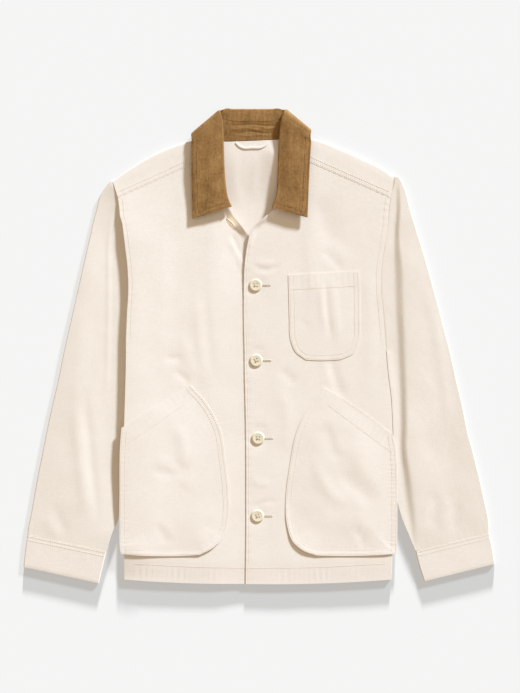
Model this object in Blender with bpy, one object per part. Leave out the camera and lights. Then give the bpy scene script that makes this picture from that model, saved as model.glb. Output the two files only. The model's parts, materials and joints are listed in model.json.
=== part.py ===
"""A chore jacket lying flat on its back, buttoned, with its sleeves beside the body.

Frame: +X to the wearer's left, +Y to the collar, +Z up from the surface it lies on.
Origin: middle of the jacket's outline, on that surface.
Every table below is in millimetres; the meshes are made in metres.
Each piece is one wall of cloth: its outer side is laid out as a grid of points, and a
Solidify modifier gives it its thickness towards the inside of the garment.
"""
import math

import bmesh
import bpy
from mathutils import Matrix, Vector

MM = 0.001

# ---- driving dimensions -------------------------------------------------------------
CANVAS = 1.5            # wall of the canvas pieces
CORDUROY = 2.0          # wall of the collar, two layers of corduroy
GAP = 0.4               # between two pieces at a seam
HALF_GAP = GAP / 2
BODY_TOP = 6.8          # outer side of the fronts above the surface
UNDERLAP_TOP = 3.7      # outer side of the right front under the left one
FOLD = BODY_TOP / 2     # radius of the folds at the sides, shoulders and sleeves
SIDE_TURN = 4.0         # how far each front lies under the body past its side fold
VALLEY_TOP = 3.6        # outer side of a sleeve at the bottom of its valley
NECK_MIDDLE = -13.0     # middle of the neck, left of the jacket's middle
NECK_LIFT = 2.8         # back panel raised over the turned-under collar
DRIFT_START = 40.0      # along Y, where the back's rows begin to follow the shoulders
ROLL = 6.0              # outer height of the collar where it rolls over
UNDERARM = 2.0          # the lowest point of both armholes, along Y
SLEEVE_CLEARANCE = 1.2  # between a closed sleeve and the side fold
HEM_DROP = 1.6          # the fronts sink this much at the hem
HEM_DROP_START = -345.0  # along Y, where they begin to sink
COVERED_FROM = -66.0    # along X, where the left front begins to cover the right one
COVERED_WIDTH = 36.0    # from there to the full depth of the underlap
UNDERLAP_END = 225.0    # along Y, where the underlap comes up again below the neck
COLLAR_BEHIND = 2.7     # middle height of the collar where it is turned under
LEAF_PUFF = 1.2         # how far a collar leaf swells between its roll and its edge
BUTTON_DIAMETER = 21.0
BUTTON_THICKNESS = 3.2
BUTTON_HOLE = 2.0
BUTTON_HOLE_PITCH = 3.4
LOOP_WIDTH = 5.0
LOOP_WALL = 1.3
LOOP_RISE = 0.8         # how far the loop stands off in its middle

ARC_STEPS = 4           # segments of each quarter-round fold
ROLL_STEPS = 6          # segments of the collar's roll
FRONT_STEPS = (0, .025, .06, .12, .2, .31, .42, .54, .66, .78, .89, .96, 1)
SLEEVE_STEPS = (.12, .3, .5, .7, .86, 1)

WHITE = (0.86, 0.79, 0.70)
BROWN = (0.30, 0.16, 0.06)
HORN = (0.74, 0.64, 0.50)

# ---- seams in plan: x at each y, wearer's left (+) and right (-) side -----------------
# y station, x of the left side or armhole, x of the right side or armhole
SEAM_STATIONS = (
    (-378, 214, -219),
    (-345, 215.5, -219),
    (-300, 216.5, -219),
    (-249, 217, -219),
    (-190, 217, -219),
    (-129, 216, -219),
    (-76, 213, -217.5),
    (-38, 208, -216.5),
    (UNDERARM, 205, -216),
    (10, 204.3, -215.8),
    (55, 200.8, -214),
    (100, 197, -212),
    (135, 198.8, -214),
    (160, 202.6, -217),
    (180, 205.8, -219.5),
    (196, 208, -221.5),
    (211, 209, -225.5),
    (226, 210.5, -227),
    (241, 212.5, -229),
    (252, 214.5, -234),
    (259, 217.3, -237),
)
YOKE_ROW = 18           # the station where the yoke seams meet the armholes
UNDERARM_ROW = 8        # the station of the underarm

# ---- fronts: the centre front edge opposite each side station -------------------------
# edge x, edge y, bow of the row, height that the edge curls up
LEFT_FRONT_EDGE = (
    (-22, -385, -3, 0),
    (-21.5, -350, 0, 0),
    (-21, -304, 0, 0),
    (-21, -252, 0, 0),
    (-21, -195, 0, 0),
    (-21.5, -137, 0, 0),
    (-22.5, -86, 0, 0),
    (-23.5, -45, 0, 0),
    (-24, 0, 0, 0),
    (-24.5, 17, 0, 0),
    (-25, 75, 0, 0),
    (-23, 138, 0, 0),
    (-18.5, 168, 0, 1),
    (-12, 191, 0, 2.5),
    (5, 206, 0, 3.5),
    (23, 215, 0, 3),
    (46, 240, 0, 0),
    (57, 272, 0, 0),
    (64, 306, 0, 0),
)
RIGHT_FRONT_EDGE = (
    (10, -384.5, -3, 0),
    (10, -350, 0, 0),
    (10, -304, 0, 0),
    (10, -252, 0, 0),
    (10, -195, 0, 0),
    (10, -137, 0, 0),
    (9, -86, 0, 0),
    (8.5, -45, 0, 0),
    (8, 0, 0, 0),
    (8, 17, 0, 0),
    (7, 75, 0, 0),
    (1, 138, 0, 0),
    (-14, 174, 0, 1),
    (-27, 193, 0, 7),
    (-41, 211, 0, 11),
    (-47, 223, 0, 7),
    (-72, 240, 0, 0),
    (-83, 272, 0, 0),
    (-90, 304, 0, 0),
)
CURL_REACH = 12         # how far into the front the curl fades out
LEFT_NECK_X = 62.0      # where the yoke seams start at the neck, along X
RIGHT_NECK_X = -88.0

# ---- shoulders and neck: the top of the back panel, from right to left ----------------
# x, y of the outline, 1 where the panel wraps forward over the shoulder
SHOULDER_LINE = (
    (-238.3, 267.5, 1),
    (-218, 282, 1),
    (-196, 296.5, 1),
    (-162, 315.5, 1),
    (-122, 330, 1),
    (-88, 337.5, 1),
    (-57, 332, 0),
    (-35, 332.3, 0),
    (-13, 333, 0),
    (9, 334, 0),
    (31, 335, 0),
    (62, 338.5, 1),
    (94, 334.5, 1),
    (134, 319.5, 1),
    (170, 303.5, 1),
    (196, 290.5, 1),
    (219, 275, 1),
)

# ---- sleeves: one row for each section, from the crown to the cuff seam ----------------
# inner x, inner y, outer x, outer y, where the valley ends, how deep it is (0 to 1)
# (the first rows take their inner ends from the armhole stations, top to bottom)
RIGHT_CROWN = (
    (-243.5, 266.0, 0, 0),
    (-252, 254, 0, 0),
    (-259.5, 241, 5, .3),
    (-264, 222, 8, .7),
    (-269.5, 201, 10, 1),
    (-273.5, 183, 13, 1),
    (-278, 163, 14, 1),
    (-283.5, 139, 16, 1),
    (-290, 110, 16, 1),
    (-299, 70, 18, 1),
    (-309.5, 24, 20, 1),
    (-320, -25, 21, 1),
)
LEFT_CROWN = (
    (226, 268, 0, 0),
    (235.5, 258, 2, .2),
    (240, 243, 6, .5),
    (244, 226, 10, .8),
    (248.5, 210, 14, 1),
    (253.5, 194, 16, 1),
    (259, 176, 19, 1),
    (265.5, 156, 24, 1),
    (272.5, 132, 28, 1),
    (283, 94, 30, 1),
    (297, 41, 28, 1),
    (309, -6, 26, 1),
)
RIGHT_FOREARM = (
    (-216.4, -14, -325, -50, 21, 1),
    (-217.2, -44, -331, -76, 21, 1),
    (-219, -78, -337.5, -104, 20, 1),
    (-220, -120, -344.5, -137, 18, 1),
    (-222, -165, -352, -175, 14, .9),
    (-225.5, -210, -359.5, -212, 11, .7),
    (-227, -252, -366, -249, 9, .5),
    (-229, -282, -371.5, -279, 6, .2),
    (-237.5, -301, -374.5, -292, 3, 0),
    (-247.6, -332.3, -375.9, -305.3, 3, 0),
)
LEFT_FOREARM = (
    (206.4, -14, 315, -31, 26, 1),
    (210, -44, 321, -59, 25, 1),
    (214, -78, 328.5, -90, 22, 1),
    (218, -120, 338, -137, 19, 1),
    (220.5, -165, 347.5, -173, 15, 1),
    (223, -210, 356.5, -209, 18, .9),
    (224.5, -250, 363.5, -240, 20, .7),
    (229.5, -275, 368.5, -262, 19, .5),
    (242, -306, 372.5, -286, 9, .2),
    (252.8, -331.6, 373.0, -302.6, 3, 0),
)
# cuffs: inner x, inner y, outer x, outer y at the seam and at the open end
RIGHT_CUFF = (
    (-247.8, -333.0, -376, -306.1),
    (-253.5, -357, -379.5, -331),
    (-260, -384, -382.3, -357.5),
)
LEFT_CUFF = (
    (253.0, -332.3, 373.2, -303.3),
    (259, -356, 378.3, -328),
    (267, -381, 382.3, -352.6),
)

# ---- collar: one row for each section, from the wearer's left end round to the right ---
# roll x, roll y, free edge x, free edge y, middle height, turn, lip, seam x, seam y, seam z
COLLAR = (
    (20, 224, 78, 208, 15, 0, 4, 31, 226, 8.5),
    (26, 240, 79, 228, 15, 0, 4, 43, 241, 7),
    (29, 262, 80, 256, 15, 0, 4, 51.5, 263, 6.5),
    (30, 290, 81.5, 288, 15, 0, 4, 59, 290, 6.3),
    (31, 318, 83, 315, 15, 0, 4, 61.2, 316, 6.3),
    (32.5, 343, 84, 329, 15, 0, 4, 60, 331, 6.3),
    (36, 371, 82.5, 337, 15, 0, 6, 57, 336.5, 5.8),
    (39.5, 379, 83, 342, 13.2, 45, 10, 54, 338.8, 5.2),
    (41.9, 382.8, 82.3, 346.8, 8.85, 90, 13, 51, 340, 4.6),
    (39.5, 384, 80, 346, 4.6, 135, 15, 47, 339, 3.8),
    (32, 385, 74, 342, 2.7, 180, 17, 41, 337.4, 2.9),
    (18, 385, 38, 329, 2.7, 180, 20, 27, 335.6, 2.9),
    (-13, 385, -13, 323, 2.7, 180, 20, -13, 333.8, 2.9),
    (-41, 385, -60, 327, 2.7, 180, 20, -53, 333, 2.9),
    (-54, 385, -95, 339, 2.7, 180, 17, -67, 335.4, 2.9),
    (-61, 383.3, -103, 342, 4.6, 135, 15, -73, 337, 3.8),
    (-64, 381.3, -107, 341.5, 8.85, 90, 13, -77, 338, 4.6),
    (-62.5, 377, -109, 336, 13.2, 45, 10, -80, 336.8, 5.2),
    (-60, 369, -109, 331, 15, 0, 6, -83, 334.5, 5.8),
    (-58, 343, -109.5, 325, 15, 0, 4, -86, 330, 6.3),
    (-57, 318, -110, 311, 15, 0, 4, -87.5, 315, 6.3),
    (-56, 290, -110, 286, 15, 0, 4, -85, 290, 6.3),
    (-54, 262, -109, 255, 15, 0, 4, -78, 262, 6.5),
    (-50, 240, -108.5, 227, 15, 0, 4, -70, 242.5, 7),
    (-44, 226, -108, 206, 15, 0, 4, -57, 233, 8.5),
)

# ---- pockets: one row for each section, from the mouth to the bottom --------------------
# inner x, inner y, outer x, outer y, bow of the row
LEFT_POCKET = (
    (103, -66, 217, -144, 4),
    (82, -94, 221, -165, 1),
    (62, -134, 223, -192, 0),
    (49, -196, 224, -228, 0),
    (43, -249, 224, -262, 0),
    (45, -289, 224, -292, 0),
    (55, -317, 223.5, -313, 0),
    (72, -331, 223, -326, 0),
    (93, -338.5, 222.5, -336, -2),
)
RIGHT_POCKET = (
    (-112, -63, -223, -132, 0),
    (-88, -89, -225, -158, 0),
    (-63, -137, -226, -190, 0),
    (-56, -180, -226, -222, 0),
    (-50, -235, -226, -257, 0),
    (-50, -276, -226, -286, 0),
    (-59, -309, -226, -310, 0),
    (-74, -325.5, -225.5, -325, 0),
    (-96, -337.5, -224, -336, -3),
)
CHEST_POCKET = (
    (47, 116, 162, 122, 0),
    (48, 80, 163, 86, 0),
    (49, 43, 163, 48, 0),
    (51, 10, 162, 10, 0),
    (59, -9, 153, -11, 0),
    (75, -21.5, 133, -21, -1.5),
)
POCKET_PUFF = 2.2       # how far a pocket stands off the front in its middle
POCKET_STEPS = 8

# ---- buttons: x, y, height of the middle, tilt, and the heading of the tilt in degrees --
BUTTONS = (
    (-6, 99, 9.0, 0, 0),
    (-5, -23, 9.0, 0, 0),
    (-2, -149, 9.0, 0, 0),
    (-3, -275, 9.0, 0, 0),
    (-46.7, 198.9, 16.3, 74, 225),
)

# ---- hang loop: its middle line, seen from above ----------------------------------------
LOOP = ((-41, 329.5), (-34, 323.5), (-25, 321), (-11, 320.6), (4, 321.8), (12, 325.5), (17, 329.5))


def clear_scene():
    """Start from an empty file."""
    for old in list(bpy.data.objects):
        bpy.data.objects.remove(old)


def ease(value):
    """0 to 1 with soft ends."""
    value = min(1.0, max(0.0, value))
    return value * value * (3 - 2 * value)


def mix(first, second, share):
    """A point or a number between two others."""
    if isinstance(first, (int, float)):
        return first + (second - first) * share
    return tuple(a + (b - a) * share for a, b in zip(first, second))


def material(name, color, roughness):
    """A plain Principled material."""
    made = bpy.data.materials.new(name)
    made.use_nodes = True
    shader = made.node_tree.nodes["Principled BSDF"]
    shader.inputs["Base Color"].default_value = (*color, 1)
    shader.inputs["Roughness"].default_value = roughness
    shader.inputs["Metallic"].default_value = 0
    return made


def cloth(name, grid, wall, color, skip=(), closed_rows=()):
    """One wall of cloth whose outer side runs through a grid of points in millimetres.

    skip holds the cells (row, column) that are left out. On closed_rows the last column
    is the same as the first, so that the section is a closed ring there.
    """
    mesh = bmesh.new()
    corners = []
    for number, row in enumerate(grid):
        line = [mesh.verts.new([value * MM for value in point]) for point in row]
        if number in closed_rows:
            mesh.verts.remove(line.pop())
            line.append(line[0])
        corners.append(line)
    for row in range(len(grid) - 1):
        for column in range(len(grid[0]) - 1):
            if (row, column) in skip:
                continue
            mesh.faces.new((corners[row][column], corners[row][column + 1],
                            corners[row + 1][column + 1], corners[row + 1][column]))
    loose = [corner for corner in mesh.verts if not corner.link_faces]
    bmesh.ops.delete(mesh, geom=loose, context="VERTS")
    data = bpy.data.meshes.new(name)
    mesh.to_mesh(data)
    mesh.free()
    data.shade_smooth()
    piece = bpy.data.objects.new(name, data)
    bpy.context.collection.objects.link(piece)
    piece.data.materials.append(material(name, color, 0.9))
    solid = piece.modifiers.new("wall", "SOLIDIFY")
    solid.thickness = wall * MM
    solid.offset = -1
    return piece


def flipped(grid):
    """The same grid with its outer side turned over."""
    return [list(reversed(row)) for row in grid]


def half_round(middle, outward, reach, rise, from_top=True):
    """Points round a fold from the top to the bottom of it, ends left out."""
    points = []
    for step in range(1, ARC_STEPS * 2):
        angle = math.pi / 2 - math.pi * step / (ARC_STEPS * 2)
        away = reach * math.cos(angle)
        points.append((middle[0] + outward[0] * away, middle[1] + outward[1] * away,
                       middle[2] + rise * math.sin(angle)))
    return points if from_top else points[::-1]


def hem_sink(y):
    """How far the fronts sink towards the hem."""
    return HEM_DROP * ease((HEM_DROP_START - y) / 40)


def front(name, edge_rows, side, underlap):
    """A front panel: from its centre edge to the armhole, or round the side fold."""
    grid, skip = [], set()
    for number, (edge_x, edge_y, bow, curl) in enumerate(edge_rows):
        station = SEAM_STATIONS[number]
        side_y, side_x = station[0], station[1 if side > 0 else 2]
        wraps = number <= UNDERARM_ROW
        end_x = side_x - side * (FOLD if wraps else HALF_GAP)
        if number == YOKE_ROW:
            edge_y, side_y = edge_y - HALF_GAP, side_y - HALF_GAP
        top = BODY_TOP - hem_sink(side_y)
        row = []
        for share in FRONT_STEPS:
            x, y = mix((edge_x, edge_y), (end_x, side_y), share)
            inside = share * abs(end_x - edge_x)
            height = top
            if underlap:
                covered = ease((x - COVERED_FROM) / COVERED_WIDTH)
                covered *= 1 - ease((edge_y - UNDERLAP_END) / 40)
                height = mix(height, UNDERLAP_TOP, covered)
            height += curl * (1 - ease(inside / CURL_REACH))
            row.append((x, y + bow * 4 * share * (1 - share), height))
        radius = top / 2
        row += half_round((end_x, side_y, radius), (side, 0), radius, radius)
        row += [(end_x, side_y, 0), (end_x - side * SIDE_TURN, side_y, 0)]
        if not wraps:
            skip |= {(number - 1, column) for column in range(len(FRONT_STEPS) - 1, len(row) - 1)}
            skip |= {(number, column) for column in range(len(FRONT_STEPS) - 1, len(row) - 1)}
        grid.append(row)
    return cloth(name, grid if side > 0 else flipped(grid), CANVAS, WHITE,
                 skip if side > 0 else {(row, len(grid[0]) - 2 - column) for row, column in skip})


def neck_lift(x, y):
    """Height of the back panel over the part of the collar that is turned under it.

    It rises over 34 mm below the neck seam, and over 30 mm at each side of the neck.
    """
    near = ease((y - 280) / 34) * ease((128 - abs(x - NECK_MIDDLE)) / 30)
    return NECK_LIFT * near


def shoulder_normal(number):
    """The way out of the shoulder line, in plan."""
    before = SHOULDER_LINE[max(number - 1, 0)]
    after = SHOULDER_LINE[min(number + 1, len(SHOULDER_LINE) - 1)]
    if not before[2]:
        before = SHOULDER_LINE[number]
    if not after[2]:
        after = SHOULDER_LINE[number]
    along = Vector((after[0] - before[0], after[1] - before[1])).normalized()
    return (-along.y, along.x)


def yoke_point(x_share, side):
    """A point of a yoke seam, from the neck (0) to the armhole (1)."""
    edge = LEFT_FRONT_EDGE[YOKE_ROW] if side > 0 else RIGHT_FRONT_EDGE[YOKE_ROW]
    station = SEAM_STATIONS[YOKE_ROW]
    end_x = station[1] - HALF_GAP if side > 0 else station[2] + HALF_GAP
    return mix((edge[0], edge[1] + HALF_GAP), (end_x, station[0] + HALF_GAP), x_share)


def back():
    """The back panel, from the hem up and over both shoulders to the yoke seams."""
    tops = []
    for number, (x, y, wraps) in enumerate(SHOULDER_LINE):
        radius = (BODY_TOP - neck_lift(x, y)) / 2
        out = shoulder_normal(number) if wraps else (0, 0)
        tops.append((x - out[0] * radius, y - out[1] * radius, radius, out))
    first_x, last_x = SHOULDER_LINE[0][0], SHOULDER_LINE[-1][0]
    shares = [(x - first_x) / (last_x - first_x) for x, _, _ in SHOULDER_LINE]
    grid = []
    for y, left_x, right_x in SEAM_STATIONS:
        inset = FOLD + SIDE_TURN + GAP if y <= UNDERARM else HALF_GAP
        near_top = ease((y - DRIFT_START) / (SEAM_STATIONS[-1][0] - DRIFT_START))
        row = []
        for top, share in zip(tops, shares):
            x = mix(right_x + inset, left_x - inset, share)
            rise = top[1] - mix(tops[0][1], tops[-1][1], share)
            drift = top[0] - mix(tops[0][0], tops[-1][0], share)
            place = (x + drift * near_top, y + rise * near_top * 0.98)
            row.append((*place, neck_lift(*place)))
        grid.append(row)
    fold_row = len(grid)
    grid.append([(x, y, neck_lift(x, y)) for x, y, _, _ in tops])
    arcs = []
    for x, y, radius, out in tops:
        middle = (x, y, neck_lift(x, y) + radius)
        arcs.append(half_round(middle, out, radius, radius, from_top=False))
    grid += [list(line) for line in zip(*arcs)]
    ends = []
    for x, _, _ in SHOULDER_LINE:
        side, neck_x, edge_x = (1, LEFT_NECK_X, last_x) if x > NECK_MIDDLE else (-1, RIGHT_NECK_X, first_x)
        ends.append(yoke_point((x - neck_x) / (edge_x - neck_x), side))
    for share in (0, .35, .7, 1):
        grid.append([(*mix((x, y), end, share), BODY_TOP) for (x, y, _, _), end in zip(tops, ends)])
    wraps = [station[2] for station in SHOULDER_LINE]
    skip = {(row, len(wraps) - 2 - column) for row in range(fold_row, len(grid) - 1)
            for column in range(len(wraps) - 1) if not (wraps[column] and wraps[column + 1])}
    return cloth("back", flipped(grid), CANVAS, WHITE, skip)


def sleeve_section(inner, outer, valley, depth, closed):
    """One section of a sleeve: over the top from the inside out, and back underneath."""
    inner, outer = Vector(inner), Vector(outer)
    width = (outer - inner).length
    along = (outer - inner) / width
    radius = min(FOLD, width / 2.2)
    flat = width - radius
    valley = min(valley, flat * 0.4)
    floor = mix(BODY_TOP, VALLEY_TOP, depth)
    nose = floor / 2
    if closed:
        steps = [(0, nose), (nose * .29, nose * 1.71), (nose, floor)]
    else:
        steps = [(0, BODY_TOP), (min(1, flat * .05), BODY_TOP), (min(2, flat * .1), BODY_TOP)]
    base = steps[-1][0]
    reach = max(valley, flat * .12)
    begin = base + reach + min(6, flat * .1)
    steps += [(base + reach * .4, floor), (base + reach * .75, mix(floor, BODY_TOP, .1)), (begin, BODY_TOP)]
    steps += [(mix(begin, flat, share), BODY_TOP) for share in SLEEVE_STEPS]
    row = [(*(inner + along * run), height) for run, height in steps]
    end = inner + along * flat
    row += half_round((end.x, end.y, FOLD), along, radius, FOLD)
    inside = nose if closed else 0
    for share in (1, .75, .5, .25):
        row.append((*(inner + along * mix(inside, flat, share)), 0))
    if closed:
        row += [(*(inner + along * nose), 0), (*(inner + along * nose * .29), nose * .29), row[0]]
    else:
        row += [(*(inner + along * run), 0) for run in (min(2, flat * .1), min(1, flat * .05), 0)]
    return row


def sleeve(name, side, crown, forearm):
    """A sleeve, open along the armhole and closed from the underarm to the cuff."""
    grid, closed = [], []
    stations = SEAM_STATIONS[:UNDERARM_ROW:-1]
    for number, ((outer_x, outer_y, valley, depth), station) in enumerate(zip(crown, stations)):
        inner_x = station[1 if side > 0 else 2] + side * HALF_GAP
        grid.append(sleeve_section((inner_x, station[0]), (outer_x, outer_y), valley, depth, False))
    for inner_x, inner_y, outer_x, outer_y, valley, depth in forearm:
        closed.append(len(grid))
        inner_x += side * SLEEVE_CLEARANCE
        grid.append(sleeve_section((inner_x, inner_y), (outer_x, outer_y), valley, depth, True))
    if side > 0:
        grid = grid[::-1]
        closed = [len(grid) - 1 - number for number in closed]
    return cloth(name, grid, CANVAS, WHITE, closed_rows=closed)


def cuff(name, side, rows):
    """A cuff band: a flattened tube as thick as the sleeve's end."""
    grid = []
    for inner_x, inner_y, outer_x, outer_y in rows:
        inner, outer = Vector((inner_x, inner_y)), Vector((outer_x, outer_y))
        inner.x += side * SLEEVE_CLEARANCE
        along = (outer - inner).normalized()
        low, high = inner + along * FOLD, outer - along * FOLD
        shares = (0, .2, .4, .6, .8, 1)
        row = [(*mix(tuple(low), tuple(high), share), BODY_TOP) for share in shares]
        row += half_round((*high, FOLD), along, FOLD, FOLD)
        row += [(*mix(tuple(high), tuple(low), share), 0) for share in shares]
        row += half_round((*low, FOLD), -along, FOLD, FOLD, from_top=False)
        row.append(row[0])
        grid.append(row)
    if side > 0:
        grid = grid[::-1]
    return cloth(name, grid, CANVAS, WHITE, closed_rows=range(len(grid)))


def collar_frame(row):
    """Roll point, the way to the free edge and the way out of the leaf's outer side."""
    roll_x, roll_y, edge_x, edge_y, middle, turn = row[:6]
    roll = Vector((roll_x, roll_y, middle))
    across = Vector((edge_x - roll_x, edge_y - roll_y, 0)).normalized()
    side = 1 if roll_x > NECK_MIDDLE else -1
    out = Matrix.Rotation(math.radians(-turn) * side, 3, across) @ Vector((0, 0, 1))
    return roll, across, out


def collar_height(turn):
    """Outer height of the rolled collar: a little lower where it lies behind the neck."""
    return mix(ROLL, 2 * COLLAR_BEHIND, turn / 180)


def collar_rows():
    """The collar's sections, with more of them where it turns over beside the neck."""
    rows = []
    for number in range(len(COLLAR) - 1):
        first, second = COLLAR[number], COLLAR[number + 1]
        before, after = COLLAR[max(number - 1, 0)], COLLAR[min(number + 2, len(COLLAR) - 1)]
        cuts = 2 if abs(first[5] - second[5]) > 10 else 1
        for cut in range(cuts):
            share = cut / cuts
            square, cube = share ** 2, share ** 3
            rows.append(tuple(
                0.5 * (2 * b + (c - a) * share + (2 * a - 5 * b + 4 * c - d) * square
                       + (3 * b - a - 3 * c + d) * cube)
                for a, b, c, d in zip(before, first, second, after)))
    rows.append(COLLAR[-1])
    return rows


def collar_fall():
    """The fall: lip, roll and leaf of every section, turned over behind the neck.

    Where it turns over, beside the neck, the leaf alone goes round.
    """
    grid, skip = [], set()
    rows = collar_rows()
    for number, row in enumerate(rows):
        following = rows[min(number + 1, len(rows) - 1)]
        if max(row[5], following[5]) > 10 and min(row[5], following[5]) < 170:
            skip |= {(number, column) for column in range(1 + ROLL_STEPS // 2)}
        roll, across, out = collar_frame(row)
        edge = Vector((row[2], row[3], row[4]))
        half = collar_height(row[5]) / 2
        lip = row[6]
        line = [roll + across * lip - out * half, roll + across * (lip + half) / 2 - out * half]
        for step in range(ROLL_STEPS + 1):
            angle = -math.pi / 2 + math.pi * step / ROLL_STEPS
            line.append(roll + across * half * (1 - math.cos(angle)) + out * half * math.sin(angle))
        start = roll + across * half + out * half
        end = edge + out * half
        puff = LEAF_PUFF * math.cos(math.radians(row[5])) if row[5] < 90 else 0
        for share in (.25, .5, .75, 1):
            line.append(start.lerp(end, share) + out * puff * math.sin(math.pi * share * .9))
        grid.append([tuple(point) for point in line])
    return cloth("collar_fall", grid, CORDUROY, BROWN, skip)


def collar_stand():
    """The stand, from the neck seam to the lip of the fall."""
    grid = []
    for row in collar_rows():
        roll, across, out = collar_frame(row)
        half = collar_height(row[5]) / 2
        top = roll + across * (row[6] + GAP) - out * half
        low_z = row[9] + CORDUROY * row[5] / 180
        seam = Vector((row[7], row[8], low_z))
        grid.append([tuple(seam.lerp(top, share)) for share in (0, .33, .67, 1)])
    return cloth("collar_stand", grid, CORDUROY, BROWN)


def pocket(name, side, rows):
    """A patch pocket laid on the front: sewn round its sides and bottom, open at the mouth."""
    grid = []
    for number, (inner_x, inner_y, outer_x, outer_y, bow) in enumerate(rows):
        down = number / (len(rows) - 1)
        row = []
        for step in range(POCKET_STEPS + 1):
            share = step / POCKET_STEPS
            x, y = mix((inner_x, inner_y), (outer_x, outer_y), share)
            puff = POCKET_PUFF * math.sin(math.pi * share) ** .8 * math.sin(math.pi * (.2 + .8 * down))
            row.append((x, y + bow * 4 * share * (1 - share), BODY_TOP + GAP + CANVAS + puff))
        grid.append(row)
    return cloth(name, flipped(grid) if side > 0 else grid, CANVAS, WHITE)


def button_mesh():
    """A turned button with a raised rim and four holes."""
    radius, thick = BUTTON_DIAMETER / 2, BUTTON_THICKNESS
    profile = ((0, -.5), (.8, -.5), (.97, -.2), (1, .1), (.93, .45), (.84, .5), (.7, .2), (0, .15))
    disc = bmesh.new()
    points = [disc.verts.new((across * radius * MM, 0, up * thick * MM)) for across, up in profile]
    for first, second in zip(points, points[1:]):
        disc.edges.new((first, second))
    bmesh.ops.spin(disc, geom=disc.verts[:] + disc.edges[:], axis=(0, 0, 1), cent=(0, 0, 0),
                   angle=math.tau, steps=20, use_merge=True)
    bmesh.ops.remove_doubles(disc, verts=disc.verts, dist=1e-6)
    bmesh.ops.recalc_face_normals(disc, faces=disc.faces)
    data = bpy.data.meshes.new("button")
    disc.to_mesh(data)
    disc.free()
    drill = bmesh.new()
    for across, up in ((1, 1), (-1, 1), (-1, -1), (1, -1)):
        place = Matrix.Translation([across * BUTTON_HOLE_PITCH / 2 * MM, up * BUTTON_HOLE_PITCH / 2 * MM, 0])
        bmesh.ops.create_cone(drill, cap_ends=True, segments=8, radius1=BUTTON_HOLE / 2 * MM,
                              radius2=BUTTON_HOLE / 2 * MM, depth=2 * thick * MM, matrix=place)
    holes = bpy.data.meshes.new("holes")
    drill.to_mesh(holes)
    drill.free()
    blank = bpy.data.objects.new("blank", data)
    cutter = bpy.data.objects.new("cutter", holes)
    bpy.context.collection.objects.link(blank)
    bpy.context.collection.objects.link(cutter)
    cut = blank.modifiers.new("holes", "BOOLEAN")
    cut.operation = "DIFFERENCE"
    cut.object = cutter
    bpy.context.view_layer.update()
    seen = blank.evaluated_get(bpy.context.evaluated_depsgraph_get())
    drilled = bpy.data.meshes.new_from_object(seen)
    for used in (blank, cutter):
        bpy.data.objects.remove(used)
    return drilled


def buttons():
    """Four buttons down the front, and the neck button standing on the curled edge."""
    mesh = button_mesh()
    mesh.materials.clear()
    mesh.materials.append(material("button", HORN, 0.45))
    for number, (x, y, z, tilt, heading) in enumerate(BUTTONS, 1):
        made = bpy.data.objects.new(f"button_{number}", mesh)
        made.location = (x * MM, y * MM, z * MM)
        made.rotation_euler = (0, math.radians(tilt), math.radians(heading))
        bpy.context.collection.objects.link(made)


def hang_loop():
    """A flat strip from the neck seam, along the inside of the back, and up again."""
    grid = []
    for number, point in enumerate(LOOP):
        before, after = LOOP[max(number - 1, 0)], LOOP[min(number + 1, len(LOOP) - 1)]
        along = Vector((after[0] - before[0], after[1] - before[1])).normalized()
        across = Vector((-along.y, along.x)) * LOOP_WIDTH / 2
        middle = Vector(point)
        rise = LOOP_RISE * math.sin(math.pi * number / (len(LOOP) - 1))
        height = NECK_LIFT + CANVAS + GAP + LOOP_WALL + rise
        grid.append([(*(middle - across), height), (*(middle + across), height)])
    return cloth("hang_loop", flipped(grid), LOOP_WALL, WHITE)


def main():
    clear_scene()
    back()
    front("front_left", LEFT_FRONT_EDGE, 1, underlap=False)
    front("front_right", RIGHT_FRONT_EDGE, -1, underlap=True)
    sleeve("sleeve_left", 1, LEFT_CROWN, LEFT_FOREARM)
    sleeve("sleeve_right", -1, RIGHT_CROWN, RIGHT_FOREARM)
    cuff("cuff_left", 1, LEFT_CUFF)
    cuff("cuff_right", -1, RIGHT_CUFF)
    collar_stand()
    collar_fall()
    pocket("chest_pocket", 1, CHEST_POCKET)
    pocket("pocket_left", 1, LEFT_POCKET)
    pocket("pocket_right", -1, RIGHT_POCKET)
    buttons()
    hang_loop()


main()
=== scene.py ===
# %% [markdown]
# # A chore jacket, laid flat
#
# The real thing is a boxy work jacket of off-white cotton canvas with a brown corduroy
# collar. It lies on its back, buttoned, with its sleeves beside it. This lesson dresses a
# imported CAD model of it. The CAD gives the size and the place of every piece; each cell
# below makes one piece of cloth, thread or button the way it is cut and sewn.
#
# Cloth could be simulated. A garment that somebody has smoothed out by hand keeps its
# creases where the hand left them, so here each wall of cloth is laid out as a grid of
# points, and its folds are strokes in a table. A table is easy to read and to change.

# %% Load the frame
import json
import math

import bmesh
import bpy
import numpy as np
from mathutils import Matrix, Vector, noise
from mathutils.bvhtree import BVHTree

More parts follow.
